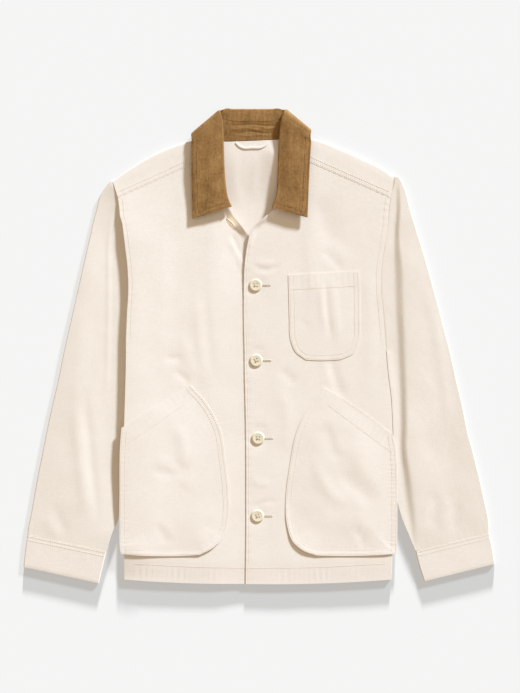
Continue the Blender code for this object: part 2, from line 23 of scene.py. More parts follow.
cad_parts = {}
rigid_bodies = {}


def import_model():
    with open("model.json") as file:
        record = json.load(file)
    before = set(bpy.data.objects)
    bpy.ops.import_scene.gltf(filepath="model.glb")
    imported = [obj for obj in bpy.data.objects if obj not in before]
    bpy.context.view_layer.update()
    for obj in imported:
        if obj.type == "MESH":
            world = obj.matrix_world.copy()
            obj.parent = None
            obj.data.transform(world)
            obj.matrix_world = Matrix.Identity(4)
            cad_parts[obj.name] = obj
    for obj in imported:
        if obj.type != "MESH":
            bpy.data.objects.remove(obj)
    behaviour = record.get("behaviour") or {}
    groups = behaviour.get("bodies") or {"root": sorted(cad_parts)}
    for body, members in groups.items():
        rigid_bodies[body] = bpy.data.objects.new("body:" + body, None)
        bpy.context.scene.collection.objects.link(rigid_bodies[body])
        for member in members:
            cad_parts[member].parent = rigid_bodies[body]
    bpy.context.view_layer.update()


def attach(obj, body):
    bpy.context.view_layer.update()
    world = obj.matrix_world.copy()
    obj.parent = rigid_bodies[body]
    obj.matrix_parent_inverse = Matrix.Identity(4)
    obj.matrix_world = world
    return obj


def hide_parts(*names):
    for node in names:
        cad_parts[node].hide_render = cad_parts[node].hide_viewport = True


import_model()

# %% [markdown]
# ## The view, the floor and the light
#
# The jacket is seen from straight above through a long lens, which keeps its outline true.
# One low sun from the upper right draws every fold, and a warm sky fills the shadows, as
# walls do in a studio. The floor glows a little, so that it stays pale beside the cream
# cloth. A second, very low lamp is linked to the floor alone and gives the wide shadow
# below the hem; Blender keeps such a link in the lamp's light linking collection.

# %% Camera, floor and lights
MM = 0.001
LENS, SENSOR = 100, 36           # millimetres
PIXELS, PIXEL_SHOWS = 693, 1.62  # along the picture's long side, and what each shows
VIEW_MIDDLE, VIEW_LEVEL = (1.2, -0.3), 7     # where it looks, and the cloth's height there

scene = bpy.context.scene
scene.view_settings.view_transform = "Standard"
scene.view_settings.look = "None"


def add(name, data):
    """A new object in the scene."""
    made = bpy.data.objects.new(name, data)
    scene.collection.objects.link(made)
    return made


camera = add("camera", bpy.data.cameras.new("camera"))
camera.data.lens = LENS
camera.data.sensor_width = SENSOR
camera.location = (VIEW_MIDDLE[0] * MM, VIEW_MIDDLE[1] * MM,
                   PIXELS * PIXEL_SHOWS * MM * LENS / SENSOR + VIEW_LEVEL * MM)
scene.camera = camera


def linear(red, green, blue):
    """A colour given as 0 to 255 in sRGB, as the shader wants it."""
    parts = [value / 255 for value in (red, green, blue)]
    return tuple(part / 12.92 if part <= 0.04045 else ((part + 0.055) / 1.055) ** 2.4
                 for part in parts) + (1,)


def new_material(name):
    """An empty node material with a Principled shader; gives the tree and the shader."""
    made = bpy.data.materials.new(name)
    made.use_nodes = True
    return made, made.node_tree, made.node_tree.nodes["Principled BSDF"]


def set_inputs(node, values):
    """Numbers and colours for a node's own sockets."""
    for name, value in values.items():
        node.inputs[name].default_value = value


FLOOR_HALF, FLOOR_LEVEL = 30, -0.2         # metres, and millimetres
paper, _, paper_shader = new_material("studio_floor")
set_inputs(paper_shader, {
    "Base Color": (0.23, 0.23, 0.23, 1), "Roughness": 1, "Specular IOR Level": 0,
    "Emission Color": (1, 1, 0.995, 1), "Emission Strength": 0.404})
floor_mesh = bpy.data.meshes.new("floor")
floor_mesh.from_pydata([(x * FLOOR_HALF, y * FLOOR_HALF, 0)
                        for x, y in ((-1, -1), (1, -1), (1, 1), (-1, 1))], [], [(0, 1, 2, 3)])
floor = add("floor", floor_mesh)
floor.location.z = FLOOR_LEVEL * MM
floor.data.materials.append(paper)


def low_sun(name, heading, height, energy, spread, color):
    """A sun: heading is in degrees from the collar's direction towards the wearer's left."""
    made = add(name, bpy.data.lights.new(name, "SUN"))
    made.data.energy = energy
    made.data.angle = math.radians(spread)
    made.data.color = color
    made.rotation_euler = (0, math.radians(90 - height), math.radians(90 - heading))
    return made


low_sun("sun", heading=34.5, height=18.5, energy=6.75, spread=6.5, color=(0.749, 0.872, 1.0))
floor_lamp = low_sun("floor_lamp", heading=4, height=8, energy=27, spread=3, color=(1, 1, 1))
floor_only = bpy.data.collections.new("floor_only")
floor_only.objects.link(floor)
floor_lamp.light_linking.receiver_collection = floor_only

sky = bpy.data.worlds.new("sky")
sky.use_nodes = True
set_inputs(sky.node_tree.nodes["Background"], {"Color": (1.0, 0.84, 0.625, 1), "Strength": 0.51})
scene.world = sky
print("camera height in mm:", round(camera.location.z * 1000))

# %% [markdown]
# ## Helpers for laying out cloth
#
# A pattern piece is a table of rows: where a section starts, where it ends, and how it is
# shaped. `dense_rows` runs a smooth curve through such a table and reads as many rows from
# it as the cloth needs. The curve is a cubic whose slopes come from the neighbours' real
# distances, so that rows placed close together don't make it swing.

# %% Smooth rows from a short table
def ease(value):
    """0 to 1 with soft ends."""
    value = np.clip(value, 0.0, 1.0)
    return value * value * (3 - 2 * value)


def mix(first, second, share):
    """A value between two others."""
    return first + (second - first) * share


def unit(vectors):
    """Vectors of length one."""
    return vectors / np.linalg.norm(vectors, axis=-1)[..., None]


def to_the_left(along):
    """Directions turned a quarter turn to their left."""
    return np.column_stack([-along[:, 1], along[:, 0]])


def step_out(start, way, far):
    """x and y at a distance along each section's way; start and way have one row for each."""
    return start[:, 0:1] + way[:, 0:1] * far, start[:, 1:2] + way[:, 1:2] * far


def shifted(line, up):
    """The same line, further up, or down with a negative number."""
    return [(x, y + up) for x, y in line]


def bowed(bow, share):
    """How far off its straight line a row is at a share of it, if it bows by bow."""
    return bow * 4 * share * (1 - share)


def curve_slopes(rows, along):
    """The slope of each row of a table against the distance along it."""
    steps = np.diff(along)[:, None]
    pitch = np.diff(rows, axis=0) / steps
    inner = (pitch[:-1] * steps[1:] + pitch[1:] * steps[:-1]) / (steps[1:] + steps[:-1])
    return np.vstack([pitch[:1], inner, pitch[-1:]])


def dense_rows(table, gap, spots=((0, 1),)):
    """Rows no further apart than gap, on a smooth curve through a table's rows.

    spots are pairs of columns that hold x and y; the one that moves most sets the spacing.
    """
    rows = np.array(table, float)
    moves = np.max([np.hypot(*(np.diff(rows[:, list(spot)], axis=0).T)) for spot in spots], axis=0)
    along = np.concatenate([[0], np.cumsum(np.maximum(moves, 1e-6))])
    slopes = curve_slopes(rows, along)
    made = []
    for number, length in enumerate(moves):
        cuts = max(1, math.ceil(length / gap))
        for share in np.arange(cuts) / cuts:
            square, cube = share ** 2, share ** 3
            made.append((2 * cube - 3 * square + 1) * rows[number]
                        + (cube - 2 * square + share) * length * slopes[number]
                        + (3 * square - 2 * cube) * rows[number + 1]
                        + (cube - square) * length * slopes[number + 1])
    made.append(rows[-1])
    return np.array(made)


def edge_spread(width, gap, fine=(0, 0.5, 1.4, 2.6, 4.2, 6.4, 9.4)):
    """Distances across a piece: close together near both edges, gap apart between them."""
    inside = width - 2 * fine[-1]
    middle = np.linspace(fine[-1], width - fine[-1], max(2, math.ceil(inside / gap)) + 1)[1:-1]
    return np.concatenate([fine, middle, width - np.array(fine[::-1])])


print("rows through a table of 3:", len(dense_rows([(0, 0), (50, 5), (90, 0)], 4)))

# %% [markdown]
# ## Folds as strokes
#
# A fold in flat cloth is a soft ridge or a trough along a line. Each row of a fold table
# gives its height in millimetres, how wide it is on its left and on its right side, and the
# line it follows. Unequal widths make one side steep, as a pressed crease has. `relief`
# adds up every stroke at every point. Its ends fade, because folds run out into the cloth.

# %% Measure along a line, and add up the folds
FOLD_DEPTH = 0.6        # one number to make every fold deeper or shallower
FADE_SHARE = 0.3        # a fold runs out over this share of its length at each end
STROKE_GAP = 6          # between two points of a stroke's smooth line
PUCKER_FADE = 8


def along_line(line, x, y):
    """For each point: signed distance from the line (left of it is +), and distance along it."""
    line = np.array(line, float)
    best = np.full(x.shape, 1e9)
    side, run = np.zeros(x.shape), np.zeros(x.shape)
    start = 0.0
    for (ax, ay), (bx, by) in zip(line, line[1:]):
        length = math.hypot(bx - ax, by - ay)
        ux, uy = (bx - ax) / length, (by - ay) / length
        share = np.clip((x - ax) * ux + (y - ay) * uy, 0, length)
        px, py = x - ax - ux * share, y - ay - uy * share
        away = np.hypot(px, py)
        nearer = away < best
        best = np.where(nearer, away, best)
        side = np.where(nearer, np.where(ux * py - uy * px >= 0, 1.0, -1.0), side)
        run = np.where(nearer, start + share, run)
        start += length
    return best * side, run, start


def fading(run, length, reach):
    """1 along a line and 0 at its two ends, over the reach."""
    return ease(run / reach) * ease((length - run) / reach)


def relief(x, y, folds):
    """Height of the cloth's folds above its plain surface, in millimetres."""
    total = np.zeros(x.shape)
    for height, left, right, *points in folds:
        away, run, length = along_line(dense_rows(points, STROKE_GAP), x, y)
        width = np.where(away >= 0, left, right)
        fade = fading(run, length, FADE_SHARE * length)
        total += FOLD_DEPTH * height * np.exp(-(away / width) ** 2) * fade
    return total


def wander(x, y, size, seed):
    """Slow unevenness between -1 and 1, the same on each run."""
    flat = [noise.noise((px / size, py / size, seed)) for px, py in zip(x.ravel(), y.ravel())]
    return np.array(flat).reshape(x.shape)


def gathers(x, y, line, reach, pitch, seed):
    """The small puckers that a tight row of stitches pulls across itself."""
    away, run, length = along_line(line, x, y)
    sway = 1.3 * np.sin(run / pitch * 0.9 + seed) + 0.8 * np.sin(run / pitch * 0.37 + 2 * seed)
    ends = fading(run, length, PUCKER_FADE)
    return np.sin(run / pitch * math.tau + sway) * np.exp(-(away / reach) ** 2) * ends


def stitch_groove(x, y, line, depth, width=0.9):
    """The narrow valley that a row of stitches pulls into the cloth."""
    away, _, _ = along_line(line, x, y)
    return -depth * np.exp(-(away / width) ** 2)


print("the middle of a fold:", round(float(relief(np.array([10.0]), np.array([0.0]),
      [(2, 5, 5, (0, 0), (20, 0))])[0]), 2), "mm")

# %% [markdown]
# ## Materials
#
# Canvas is a plain weave of thick cotton yarn: matte, a little fuzzy at grazing light, with
# slubs where a yarn runs thick. Each cloth piece carries an attribute called `weave`, its
# own lengthwise and crosswise coordinate in metres, so that the yarns follow the cloth
# round a fold and down a slanted sleeve. Waves along both directions make the yarns, and
# stretched noise makes the slubs. Everything is a bump or a gentle colour change.

# %% Node helpers
def math_node(tree, operation, *values):
    """A Math node fed by sockets or numbers."""
    node = tree.nodes.new("ShaderNodeMath")
    node.operation = operation
    for place, value in enumerate(values):
        if isinstance(value, (int, float)):
            node.inputs[place].default_value = value
        else:
            tree.links.new(value, node.inputs[place])
    return node.outputs[0]


def noise_node(tree, vector, stretch, scale, detail=3.0):
    """Noise on stretched coordinates."""
    place = tree.nodes.new("ShaderNodeMapping")
    place.inputs["Scale"].default_value = stretch
    tree.links.new(vector, place.inputs["Vector"])
    made = tree.nodes.new("ShaderNodeTexNoise")
    set_inputs(made, {"Scale": scale, "Detail": detail})
    tree.links.new(place.outputs[0], made.inputs["Vector"])
    return made.outputs["Fac"]


def ramp(tree, value, low, high, spread=(0.3, 0.7)):
    """Colours between low and high, for a value between the two of spread."""
    node = tree.nodes.new("ShaderNodeValToRGB")
    first, last = node.color_ramp.elements
    first.position, last.position = spread
    first.color, last.color = low, high
    tree.links.new(value, node.inputs[0])
    return node.outputs[0]


def bump(tree, shader, height, distance):
    """A bump from a height between 0 and 1 that stands for distance in metres."""
    node = tree.nodes.new("ShaderNodeBump")
    set_inputs(node, {"Distance": distance, "Strength": 1})
    tree.links.new(height, node.inputs["Height"])
    tree.links.new(node.outputs[0], shader.inputs["Normal"])


def weave_input(tree):
    """The cloth's own coordinates: as a vector, and as numbers across and along it."""
    coordinate = tree.nodes.new("ShaderNodeAttribute")
    coordinate.attribute_name = "weave"
    split = tree.nodes.new("ShaderNodeSeparateXYZ")
    tree.links.new(coordinate.outputs["Vector"], split.inputs[0])
    return coordinate.outputs["Vector"], split.outputs[0], split.outputs[1]


def wave(tree, value, pitch):
    """A sine wave along a coordinate, with one crest for each pitch."""
    return math_node(tree, "SINE", math_node(tree, "MULTIPLY", value, math.tau / pitch))


def blend(tree, *parts):
    """The sum of several values, each times its share."""
    total = None
    for value, share in parts:
        part = math_node(tree, "MULTIPLY", value, share)
        total = part if total is None else math_node(tree, "ADD", total, part)
    return total


# %% Canvas
YARN = 0.85 * MM          # from one yarn to the next


def canvas(name, thin, full):
    """Off-white canvas between two close tones."""
    made, tree, shader = new_material(name)
    place, across, along = weave_input(tree)
    weave = math_node(tree, "MULTIPLY", wave(tree, across, YARN), wave(tree, along, YARN))
    slubs = noise_node(tree, place, (1, 9, 1), 60)
    threads = noise_node(tree, place, (7, 1, 1), 90)
    cloudy = noise_node(tree, place, (1, 1, 1), 14, 5)
    tone = blend(tree, (slubs, 0.35), (threads, 0.3), (cloudy, 0.35))
    tree.links.new(ramp(tree, tone, thin, full), shader.inputs["Base Color"])
    height = math_node(tree, "ADD", math_node(tree, "MULTIPLY", weave, 0.25),
                       math_node(tree, "ADD", slubs, threads))
    bump(tree, shader, height, 0.10 * MM)
    set_inputs(shader, {"Roughness": 0.92, "Specular IOR Level": 0.15,
                        "Sheen Weight": 0.08, "Sheen Roughness": 0.5})
    return made


BODY_CANVAS = canvas("body_canvas", linear(238, 225.5, 215), linear(246, 235.5, 226))
SLEEVE_CANVAS = canvas("sleeve_canvas", linear(232, 220, 208), linear(240, 229, 218))
print("canvas yarns per centimetre:", round(10 / (YARN * 1000), 1))

# %% [markdown]
# Corduroy has raised cords of cut pile, called wales, that run lengthwise. This one is
# fine: about thirteen wales in an inch. Its colour is painted lighter on each wale's ridge
# and darker in the groove between wales, which is painted shade. The pile is also rubbed
# lighter in patches, so the colour follows a streaky noise as well.

# %% Corduroy
WALE = 1.9 * MM


def corduroy():
    """Fine-wale corduroy; the wales run along the collar's lengthwise coordinate."""
    made, tree, shader = new_material("collar_corduroy")
    place, across, _ = weave_input(tree)
    wale = math_node(tree, "MULTIPLY_ADD", wave(tree, across, WALE), 0.5, 0.5)
    streaks = noise_node(tree, place, (7, 1, 1), 60, 4)
    rubbed = noise_node(tree, place, (1.3, 1, 1), 42, 5)
    worn = noise_node(tree, place, (1, 1, 1), 260, 3)
    pile = noise_node(tree, place, (1, 1, 1), 900, 2)
    # the wales' share of the tone is painted shade: darker in the grooves, lighter on the ridges
    tone = blend(tree, (streaks, 0.26), (rubbed, 0.32), (worn, 0.3), (wale, 0.1))
    tree.links.new(ramp(tree, tone, linear(122, 87, 49), linear(184, 142, 91), (0.32, 0.70)),
                   shader.inputs["Base Color"])
    bump(tree, shader, blend(tree, (wale, 0.7), (pile, 0.4)), 0.3 * MM)
    set_inputs(shader, {"Roughness": 0.95, "Specular IOR Level": 0.1, "Sheen Weight": 0.25,
                        "Sheen Roughness": 0.4, "Sheen Tint": linear(214, 176, 128)})
    return made


CORDUROY = corduroy()
print("wales in an inch:", round(25.4 / (WALE * 1000), 1))

# %% [markdown]
# ## One wall of cloth
#
# `cloth` turns a grid of points, the outer side of a piece in millimetres, into a mesh, and
# a Solidify modifier gives it the cloth's thickness inwards. Cells can be skipped, and a
# row can be closed into a ring, for a sleeve's tube. Each piece rides on the jacket's one
# body and stands for its CAD node.

# %% Build a cloth piece from a grid
CANVAS_WALL = 1.0
SHARP = math.radians(50)      # edges that turn more than this stay sharp
surfaces = {}


def applied(piece):
    """The mesh that a piece's modifiers make."""
    bpy.context.view_layer.update()
    graph = bpy.context.evaluated_depsgraph_get()
    return bpy.data.meshes.new_from_object(piece.evaluated_get(graph))


def no_cells(grid):
    """False for each cell of a grid of points."""
    return np.zeros((grid.shape[0] - 1, grid.shape[1] - 1), bool)


def weave_coordinates(grid):
    """How far each point lies across and along the cloth, in metres."""
    across = np.linalg.norm(np.diff(grid, axis=1), axis=2)
    along = np.linalg.norm(np.diff(grid, axis=0), axis=2)
    u = np.concatenate([np.zeros((len(grid), 1)), np.cumsum(across, axis=1)], axis=1)
    v = np.concatenate([np.zeros((1, grid.shape[1])), np.cumsum(along, axis=0)], axis=0)
    middle = grid.shape[1] // 2
    u = u - u[:, middle:middle + 1]
    return np.dstack([u, np.repeat(v[:, middle:middle + 1], grid.shape[1], axis=1), v * 0]) * MM


def cloth(name, grid, material, wall=CANVAS_WALL, skip=None, ring=None, ring_start=0, weave=None):
    """A mesh piece from its outer side: a grid of rows and columns of points in millimetres.

    skip marks cells that are left out; ring marks rows whose last point is their point
    number ring_start.
    """
    rows, columns = grid.shape[:2]
    number = np.arange(rows * columns).reshape(rows, columns)
    if ring is not None:
        number[ring, -1] = number[ring, ring_start]
    corners = np.stack([number[:-1, :-1], number[:-1, 1:], number[1:, 1:], number[1:, :-1]],
                       axis=-1)
    keep = np.ones(corners.shape[:2], bool) if skip is None else ~skip
    faces = corners[keep]
    used = np.unique(faces)
    place = np.full(rows * columns, -1)
    place[used] = np.arange(len(used))
    points, quads = (grid.reshape(-1, 3)[used] * MM).tolist(), place[faces].tolist()
    mesh = bpy.data.meshes.new(name)
    mesh.from_pydata(points, [], quads)
    mesh.shade_smooth()
    lines = (weave_coordinates(grid) if weave is None else weave).reshape(-1, 3)[used]
    store = mesh.attributes.new("weave", "FLOAT_VECTOR", "POINT")
    store.data.foreach_set("vector", lines.astype(np.float32).ravel())
    piece = add(name, mesh)
    mesh.materials.append(material)
    surfaces[name] = BVHTree.FromPolygons(points, quads)
    solid = piece.modifiers.new("wall", "SOLIDIFY")
    solid.thickness = wall * MM
    solid.offset = -1
    area = sum(face.area for face in mesh.polygons)
    walled = applied(piece)
    piece.modifiers.clear()
    piece.data = walled
    walled.set_sharp_from_angle(angle=SHARP)
    print(f"{name}: {len(faces)} quads, {area:.4f} square metres of cloth")
    return piece


def dress(piece, node):
    """The piece takes its node's place and rides with the jacket."""
    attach(piece, "root")
    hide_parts(node)


def fold_round(middle_xy, outward, floor, top, reach, steps=8):
    """Points round a fold from the top of it to the bottom, ends left out.

    middle_xy, outward, floor, top and reach have one row for each section.
    """
    angles = np.pi / 2 - np.pi * np.arange(1, steps) / steps
    away = reach[:, None] * np.cos(angles)
    height = (top + floor)[:, None] / 2 + (top - floor)[:, None] / 2 * np.sin(angles)
    return np.dstack([*step_out(middle_xy, outward, away), height])


# %% [markdown]
# ## The body's surface
#
# Both fronts, the pockets on them and the strip of the back that comes forward over the
# shoulders lie in one smooth surface, about 7 mm above the floor. It is a little fuller
# beside the armholes, where the folded seams lie beneath it. The table holds the folds
# that can be seen in it, from the neck down.

# %% The folds of the body
BODY_TOP = 6.8
BUTTON_ROW = ((-6, 99), (-5, -23), (-2, -149), (-3, -275))
BUTTON_PULL, PULL_REACH = 0.9, 14    # the cloth is drawn in this much round each button
BODY_FOLDS = [
    # height, width on the left, width on the right, points of the line (x, y)
    (1.1, 7, 5, (-52, 182), (-40, 158), (-30, 138), (-26, 118)),
    (-1.0, 4, 6, (-46, 186), (-36, 160), (-27, 140)),
    (0.9, 16, 9, (-100, 100), (-98, 40), (-92, -20), (-86, -70)),
    (-0.8, 8, 12, (-88, 110), (-86, 40), (-80, -20), (-76, -66)),
    (0.7, 16, 16, (-150, 210), (-156, 120), (-158, 20), (-150, -60)),
    (0.8, 10, 14, (-128, 30), (-118, -10), (-106, -40), (-96, -62)),
    (-0.8, 5, 5, (-155, -18), (-140, -20), (-122, -17)),
    (-0.8, 5, 5, (-140, -38), (-126, -48), (-112, -62)),
    (-1.6, 24, 16, (94, 250), (106, 205), (122, 165), (134, 128)),
    (-0.6, 6, 5, (100, 158), (112, 146), (126, 132), (140, 122)),
    (0.6, 10, 10, (112, 172), (128, 156), (146, 138)),
    (0.8, 16, 10, (82, 200), (80, 160), (86, 110), (84, 60)),
    (-0.9, 3.5, 3.5, (-12, 132), (4, 124), (22, 126), (36, 136)),
    (0.6, 5, 5, (-10, 142), (8, 134), (28, 136)),
    (0.7, 12, 12, (178, 180), (176, 100), (180, 0), (176, -90)),
    (-1.1, 8, 8, (114, -14), (120, -40), (128, -66), (140, -88)),
    (0.4, 9, 9, (104, -14), (108, -40), (114, -66)),
    (-0.8, 8, 8, (30, -36), (48, -50), (58, -66)),
    (0.7, 10, 10, (20, -70), (40, -90), (46, -130), (30, -170)),
    (-0.6, 3, 3, (-14, -6), (0, -4), (12, -8)),
    (-0.6, 3, 3, (-14, -134), (0, -130), (14, -134)),
    (-0.8, 3, 3, (-16, -262), (-2, -256), (12, -252), (34, -252)),
    (0.6, 5, 5, (-14, -212), (4, -224), (22, -220)),
]
HEM_DROP, HEM_FROM, HEM_REACH = 0.8, -345, 40    # the fronts sink from here towards the hem
# how much fuller the body is beside each armhole, its x, and how far this reaches
FULLER = ((4.2, -216, 60), (0.2, 206, 30))
COVERED_FROM, COVERED_WIDTH = -84, 60
UNDERLAP, UNDERLAP_NECK = 1.3, 2.4   # the covered edge lies this much lower, and more at the neck


def body_height(x, y):
    """The surface of the fronts and of the shoulders, in millimetres above the floor."""
    fuller = sum(much * np.exp(-((x - middle) / reach) ** 2) for much, middle, reach in FULLER)
    fuller *= ease((y + 380) / 60) * ease((275 - y) / 110)
    slow = 0.3 * wander(x, y, 70, 3.1) + 0.13 * wander(x, y, 26, 8.4)
    slow *= ease((330 - y) / 30)
    pull = sum(np.exp(-((x - bx) ** 2 + (y - by) ** 2) / PULL_REACH ** 2) for bx, by in BUTTON_ROW)
    sink = HEM_DROP * ease((HEM_FROM - y) / HEM_REACH)
    return BODY_TOP + fuller + slow + relief(x, y, BODY_FOLDS) - sink - BUTTON_PULL * pull


print("folds in the body:", len(BODY_FOLDS))

# %% [markdown]
# ## Two fronts
#
# Each front is one panel from the centre edge to the armhole, and below the arm it folds
# round the side and ends at the side seam, under the body. The wearer's left front lies on
# top. Its edge curls up a little at the neck, and the right front's edge curls up more,
# because its top button pulls on it. A front could be cut from a flat sheet and bent. It is
# quicker to lay its rows straight from the centre edge to the armhole, row by row.

# %% Tables for the fronts
UNDERARM = 2.0
FOLD_REACH = 1.4        # a pressed fold is this far from its middle to its edge
SIDE_REACH = 0.45       # and a hard pressed one, beside the sleeves
HALF_GAP = 0.2
SIDE_TURN = 4.0
TUCK, TUCK_DROP = 4.0, 1.3          # a seam's under layer reaches on, this much lower

# y, x on the wearer's left and on the wearer's right of the side fold or the armhole seam
SEAM_STATIONS = (
    (-378, 214, -219), (-345, 215.5, -219), (-300, 216.5, -219), (-249, 217, -219),
    (-190, 217, -219), (-129, 216, -219), (-76, 213, -217.5), (-38, 208, -216.5),
    (UNDERARM, 205, -216), (10, 204.3, -215.8), (55, 200.8, -214), (100, 197, -212),
    (135, 198.8, -214), (160, 202.6, -217), (180, 205.8, -219.5), (196, 208, -221.5),
    (211, 209, -225.5), (226, 210.5, -227), (241, 212.5, -229), (252, 214.5, -234),
    (259, 217.3, -237),
)
# centre edge x, y, bow of the row, how high the edge curls up
LEFT_FRONT_EDGE = (
    (-22, -385, -3, 0), (-21.5, -350, 0, 0), (-21, -304, 0, 0), (-21, -252, 0, 0),
    (-21, -195, 0, 0), (-21.5, -137, 0, 0), (-22.5, -86, 0, 0), (-23.5, -45, 0, 0),
    (-24, 0, 0, 0), (-24.5, 17, 0, 0), (-25, 75, 0, 0), (-23, 138, 0, 0), (-18.5, 168, 0, 1),
    (-12, 191, 0, 2.5), (6, 207, 0, 3.5), (21, 220, 0, 3), (46, 240, 0, 0), (57, 272, 0, 0),
    (64, 306, 0, 0),
)
RIGHT_FRONT_EDGE = (
    (10, -384.5, -3, 0), (10, -350, 0, 0), (10, -304, 0, 0), (10, -252, 0, 0),
    (10, -195, 0, 0), (10, -137, 0, 0), (9, -86, 0, 0), (8.5, -45, 0, 0), (8, 0, 0, 0),
    (8, 17, 0, 0), (7, 75, 0, 0), (1, 138, 0, 0), (-14, 174, 0, 1), (-27, 193, 0, 4),
    (-41, 211, 0, 5.5), (-47, 223, 0, 4), (-72, 240, 0, 0), (-83, 272, 0, 0), (-90, 304, 0, 0),
)
YOKE_LEFT = ((64, 306), (212.3, 241))
YOKE_RIGHT = ((-90, 304), (-228.8, 241))
LAP = 0.25                          # the back's edge lies on the fronts by this much
YOKE_STITCHES = (2.4, 9.0)          # two rows of stitches, this far above the seam

# %% Lay out a front
PLACKET_STITCH = 4.0      # the row of stitches along the centre edge
HEM_STITCH = 26.0         # the row of stitches along the hem
ARMHOLE_STITCH = 7.0
ARMHOLE_ROWS = slice(9, 19)     # the stations that this row of stitches passes
FACING_STITCH = 38.0


def seam_x(station, side):
    """A station's x on the wearer's left (side 1) or right (side -1)."""
    return station[1 if side > 0 else 2]


def below_arm(y):
    """0 at the underarm and above, and 1 from a little below it."""
    return ease((UNDERARM + 6 - y) / 6)


def front_lines(edge, side):
    """The rows of stitches that show on a front, each a line of x and y."""
    lines = {"armhole": [(seam_x(station, side) - side * ARMHOLE_STITCH, station[0])
                         for station in SEAM_STATIONS[ARMHOLE_ROWS]],
             "hem": [(edge[0][0] + side * 1.5, -385 + HEM_STITCH), (side * 90, -384 + HEM_STITCH),
                     (side * 206, -378 + HEM_STITCH)]}
    if side > 0:
        lines["placket"] = [(x + PLACKET_STITCH, y) for x, y, _, _ in edge[:13]]
        lines["facing"] = [(x + FACING_STITCH, y) for x, y, _, _ in edge[:11]]
    return lines


def front_relief(x, y, lines, side):
    """Stitch grooves and the puckers along them."""
    total = np.zeros(x.shape)
    for name, line in lines.items():
        total += stitch_groove(x, y, line, depth=0.05 if name == "facing" else 0.12)
    middle, half = (96, 55) if side > 0 else (-140, 90)
    busy = 0.12 + 0.22 * np.exp(-((x - middle) / half) ** 4)
    total += busy * gathers(x, y, shifted(lines["hem"], -13), 9, 8.5, 2.0 + side)
    total += 0.08 * gathers(x, y, lines["armhole"], 6, 10, 4.0)
    if side > 0:
        total += 0.12 * gathers(x, y, lines["placket"], 7, 13, 0.5)
    return total


def front(name, edge, side, covered):
    """A front panel in the wearer's-left (side 1) or wearer's-right (side -1) pattern."""
    table = [(*centre, station[0], seam_x(station, side))
             for centre, station in zip(edge, SEAM_STATIONS)]
    rows = dense_rows(table, 4, spots=((0, 1), (5, 4)))
    edge_x, edge_y, bow, curl, side_y, side_x = rows.T
    end_x = side_x - side * mix(HALF_GAP, SIDE_REACH, below_arm(side_y))
    across = edge_spread(float(np.max(np.abs(end_x - edge_x))), 3.3)
    shares = across / across[-1]
    x = edge_x[:, None] + (end_x - edge_x)[:, None] * shares
    y = edge_y[:, None] + (side_y - edge_y)[:, None] * shares + bowed(bow[:, None], shares)
    height = body_height(x, y)
    if covered:
        under = ease((x - COVERED_FROM) / COVERED_WIDTH) * (1 - ease((edge_y[:, None] - 225) / 40))
        height -= under * (UNDERLAP + UNDERLAP_NECK * ease((edge_y[:, None] - 60) / 110))
    inside = shares * np.abs(end_x - edge_x)[:, None]
    height += curl[:, None] * (1 - ease(inside / 12))
    lines = front_lines(edge, side)
    height += front_relief(x, y, lines, side) * (1 - (under if covered else 0))
    top = np.dstack([x, y, height])
    outward = np.tile((side, 0.0), (len(rows), 1))
    last = height[:, -1]
    around = fold_round(np.column_stack([end_x, side_y]), outward, last * 0, last,
                        last * 0 + SIDE_REACH)
    under_1 = np.column_stack([end_x, side_y, side_y * 0])[:, None]
    under_2 = np.column_stack([end_x - side * SIDE_TURN, side_y, side_y * 0])[:, None]
    grid = np.concatenate([top, around, under_1, under_2], axis=1)
    tucked = [grid[-1:] + (0, reach, -drop) for reach, drop in
              ((0.4, 0.5), (1.0, 0.95), (1.8, TUCK_DROP - 0.1), (TUCK, TUCK_DROP))]
    grid = np.concatenate([grid] + tucked)
    side_y = np.append(side_y, [side_y[-1]] * len(tucked))
    skip = no_cells(grid)
    open_rows = (side_y[:-1] > UNDERARM) | (side_y[1:] > UNDERARM)
    skip[np.ix_(open_rows, np.arange(len(shares) - 1, grid.shape[1] - 1))] = True
    if side < 0:
        grid, skip = grid[:, ::-1], skip[:, ::-1]
    return cloth(name, grid, BODY_CANVAS, skip=skip), lines


front_left, left_lines = front("left_front", LEFT_FRONT_EDGE, 1, covered=False)
dress(front_left, "front_left")
front_right, right_lines = front("right_front", RIGHT_FRONT_EDGE, -1, covered=True)
dress(front_right, "front_right")

# %% [markdown]
# ## The back
#
# The back is one panel. It lies face down on the floor, and at the top it folds over both
# shoulders and comes forward to the yoke seams. Between the collar's ends it shows its
# inside, through the neck. It lifts a little there, over the part of the collar that is
# turned under it. One long grid does all of it: up the back, round the fold, and forward.

# %% Tables for the shoulders and the neck
NECK_MIDDLE = -13.0
NECK_LIFT = 2.8
NECK_RISE = 1.0         # the inside rises this much more towards the collar
SIDE_RISE = 3.0         # and this much more beside the left leaf
# x, y of the outline; the panel folds forward over both shoulders, but not along the neck
SHOULDER_LINE = (
    (-238.3, 267.5), (-218, 282), (-196, 296.5), (-162, 315.5), (-122, 330), (-88, 337.5),
    (-57, 332), (-35, 332.3), (-13, 333), (9, 334), (31, 335),
    (62, 338.5), (94, 334.5), (134, 319.5), (170, 303.5), (196, 290.5), (219, 275),
)
NECK_START, NECK_END = 5, 11        # the points where the neck starts and ends
INSIDE_FOLDS = [
    (0.7, 9, 8, (-42, 320), (-40, 290), (-38, 255), (-30, 215)),
    (-0.6, 8, 8, (-24, 322), (-22, 300), (-24, 270), (-22, 240)),
    (0.6, 8, 7, (-4, 316), (-6, 290), (-10, 262), (-14, 235)),
    (-0.4, 6, 8, (10, 312), (6, 280), (2, 250)),
]


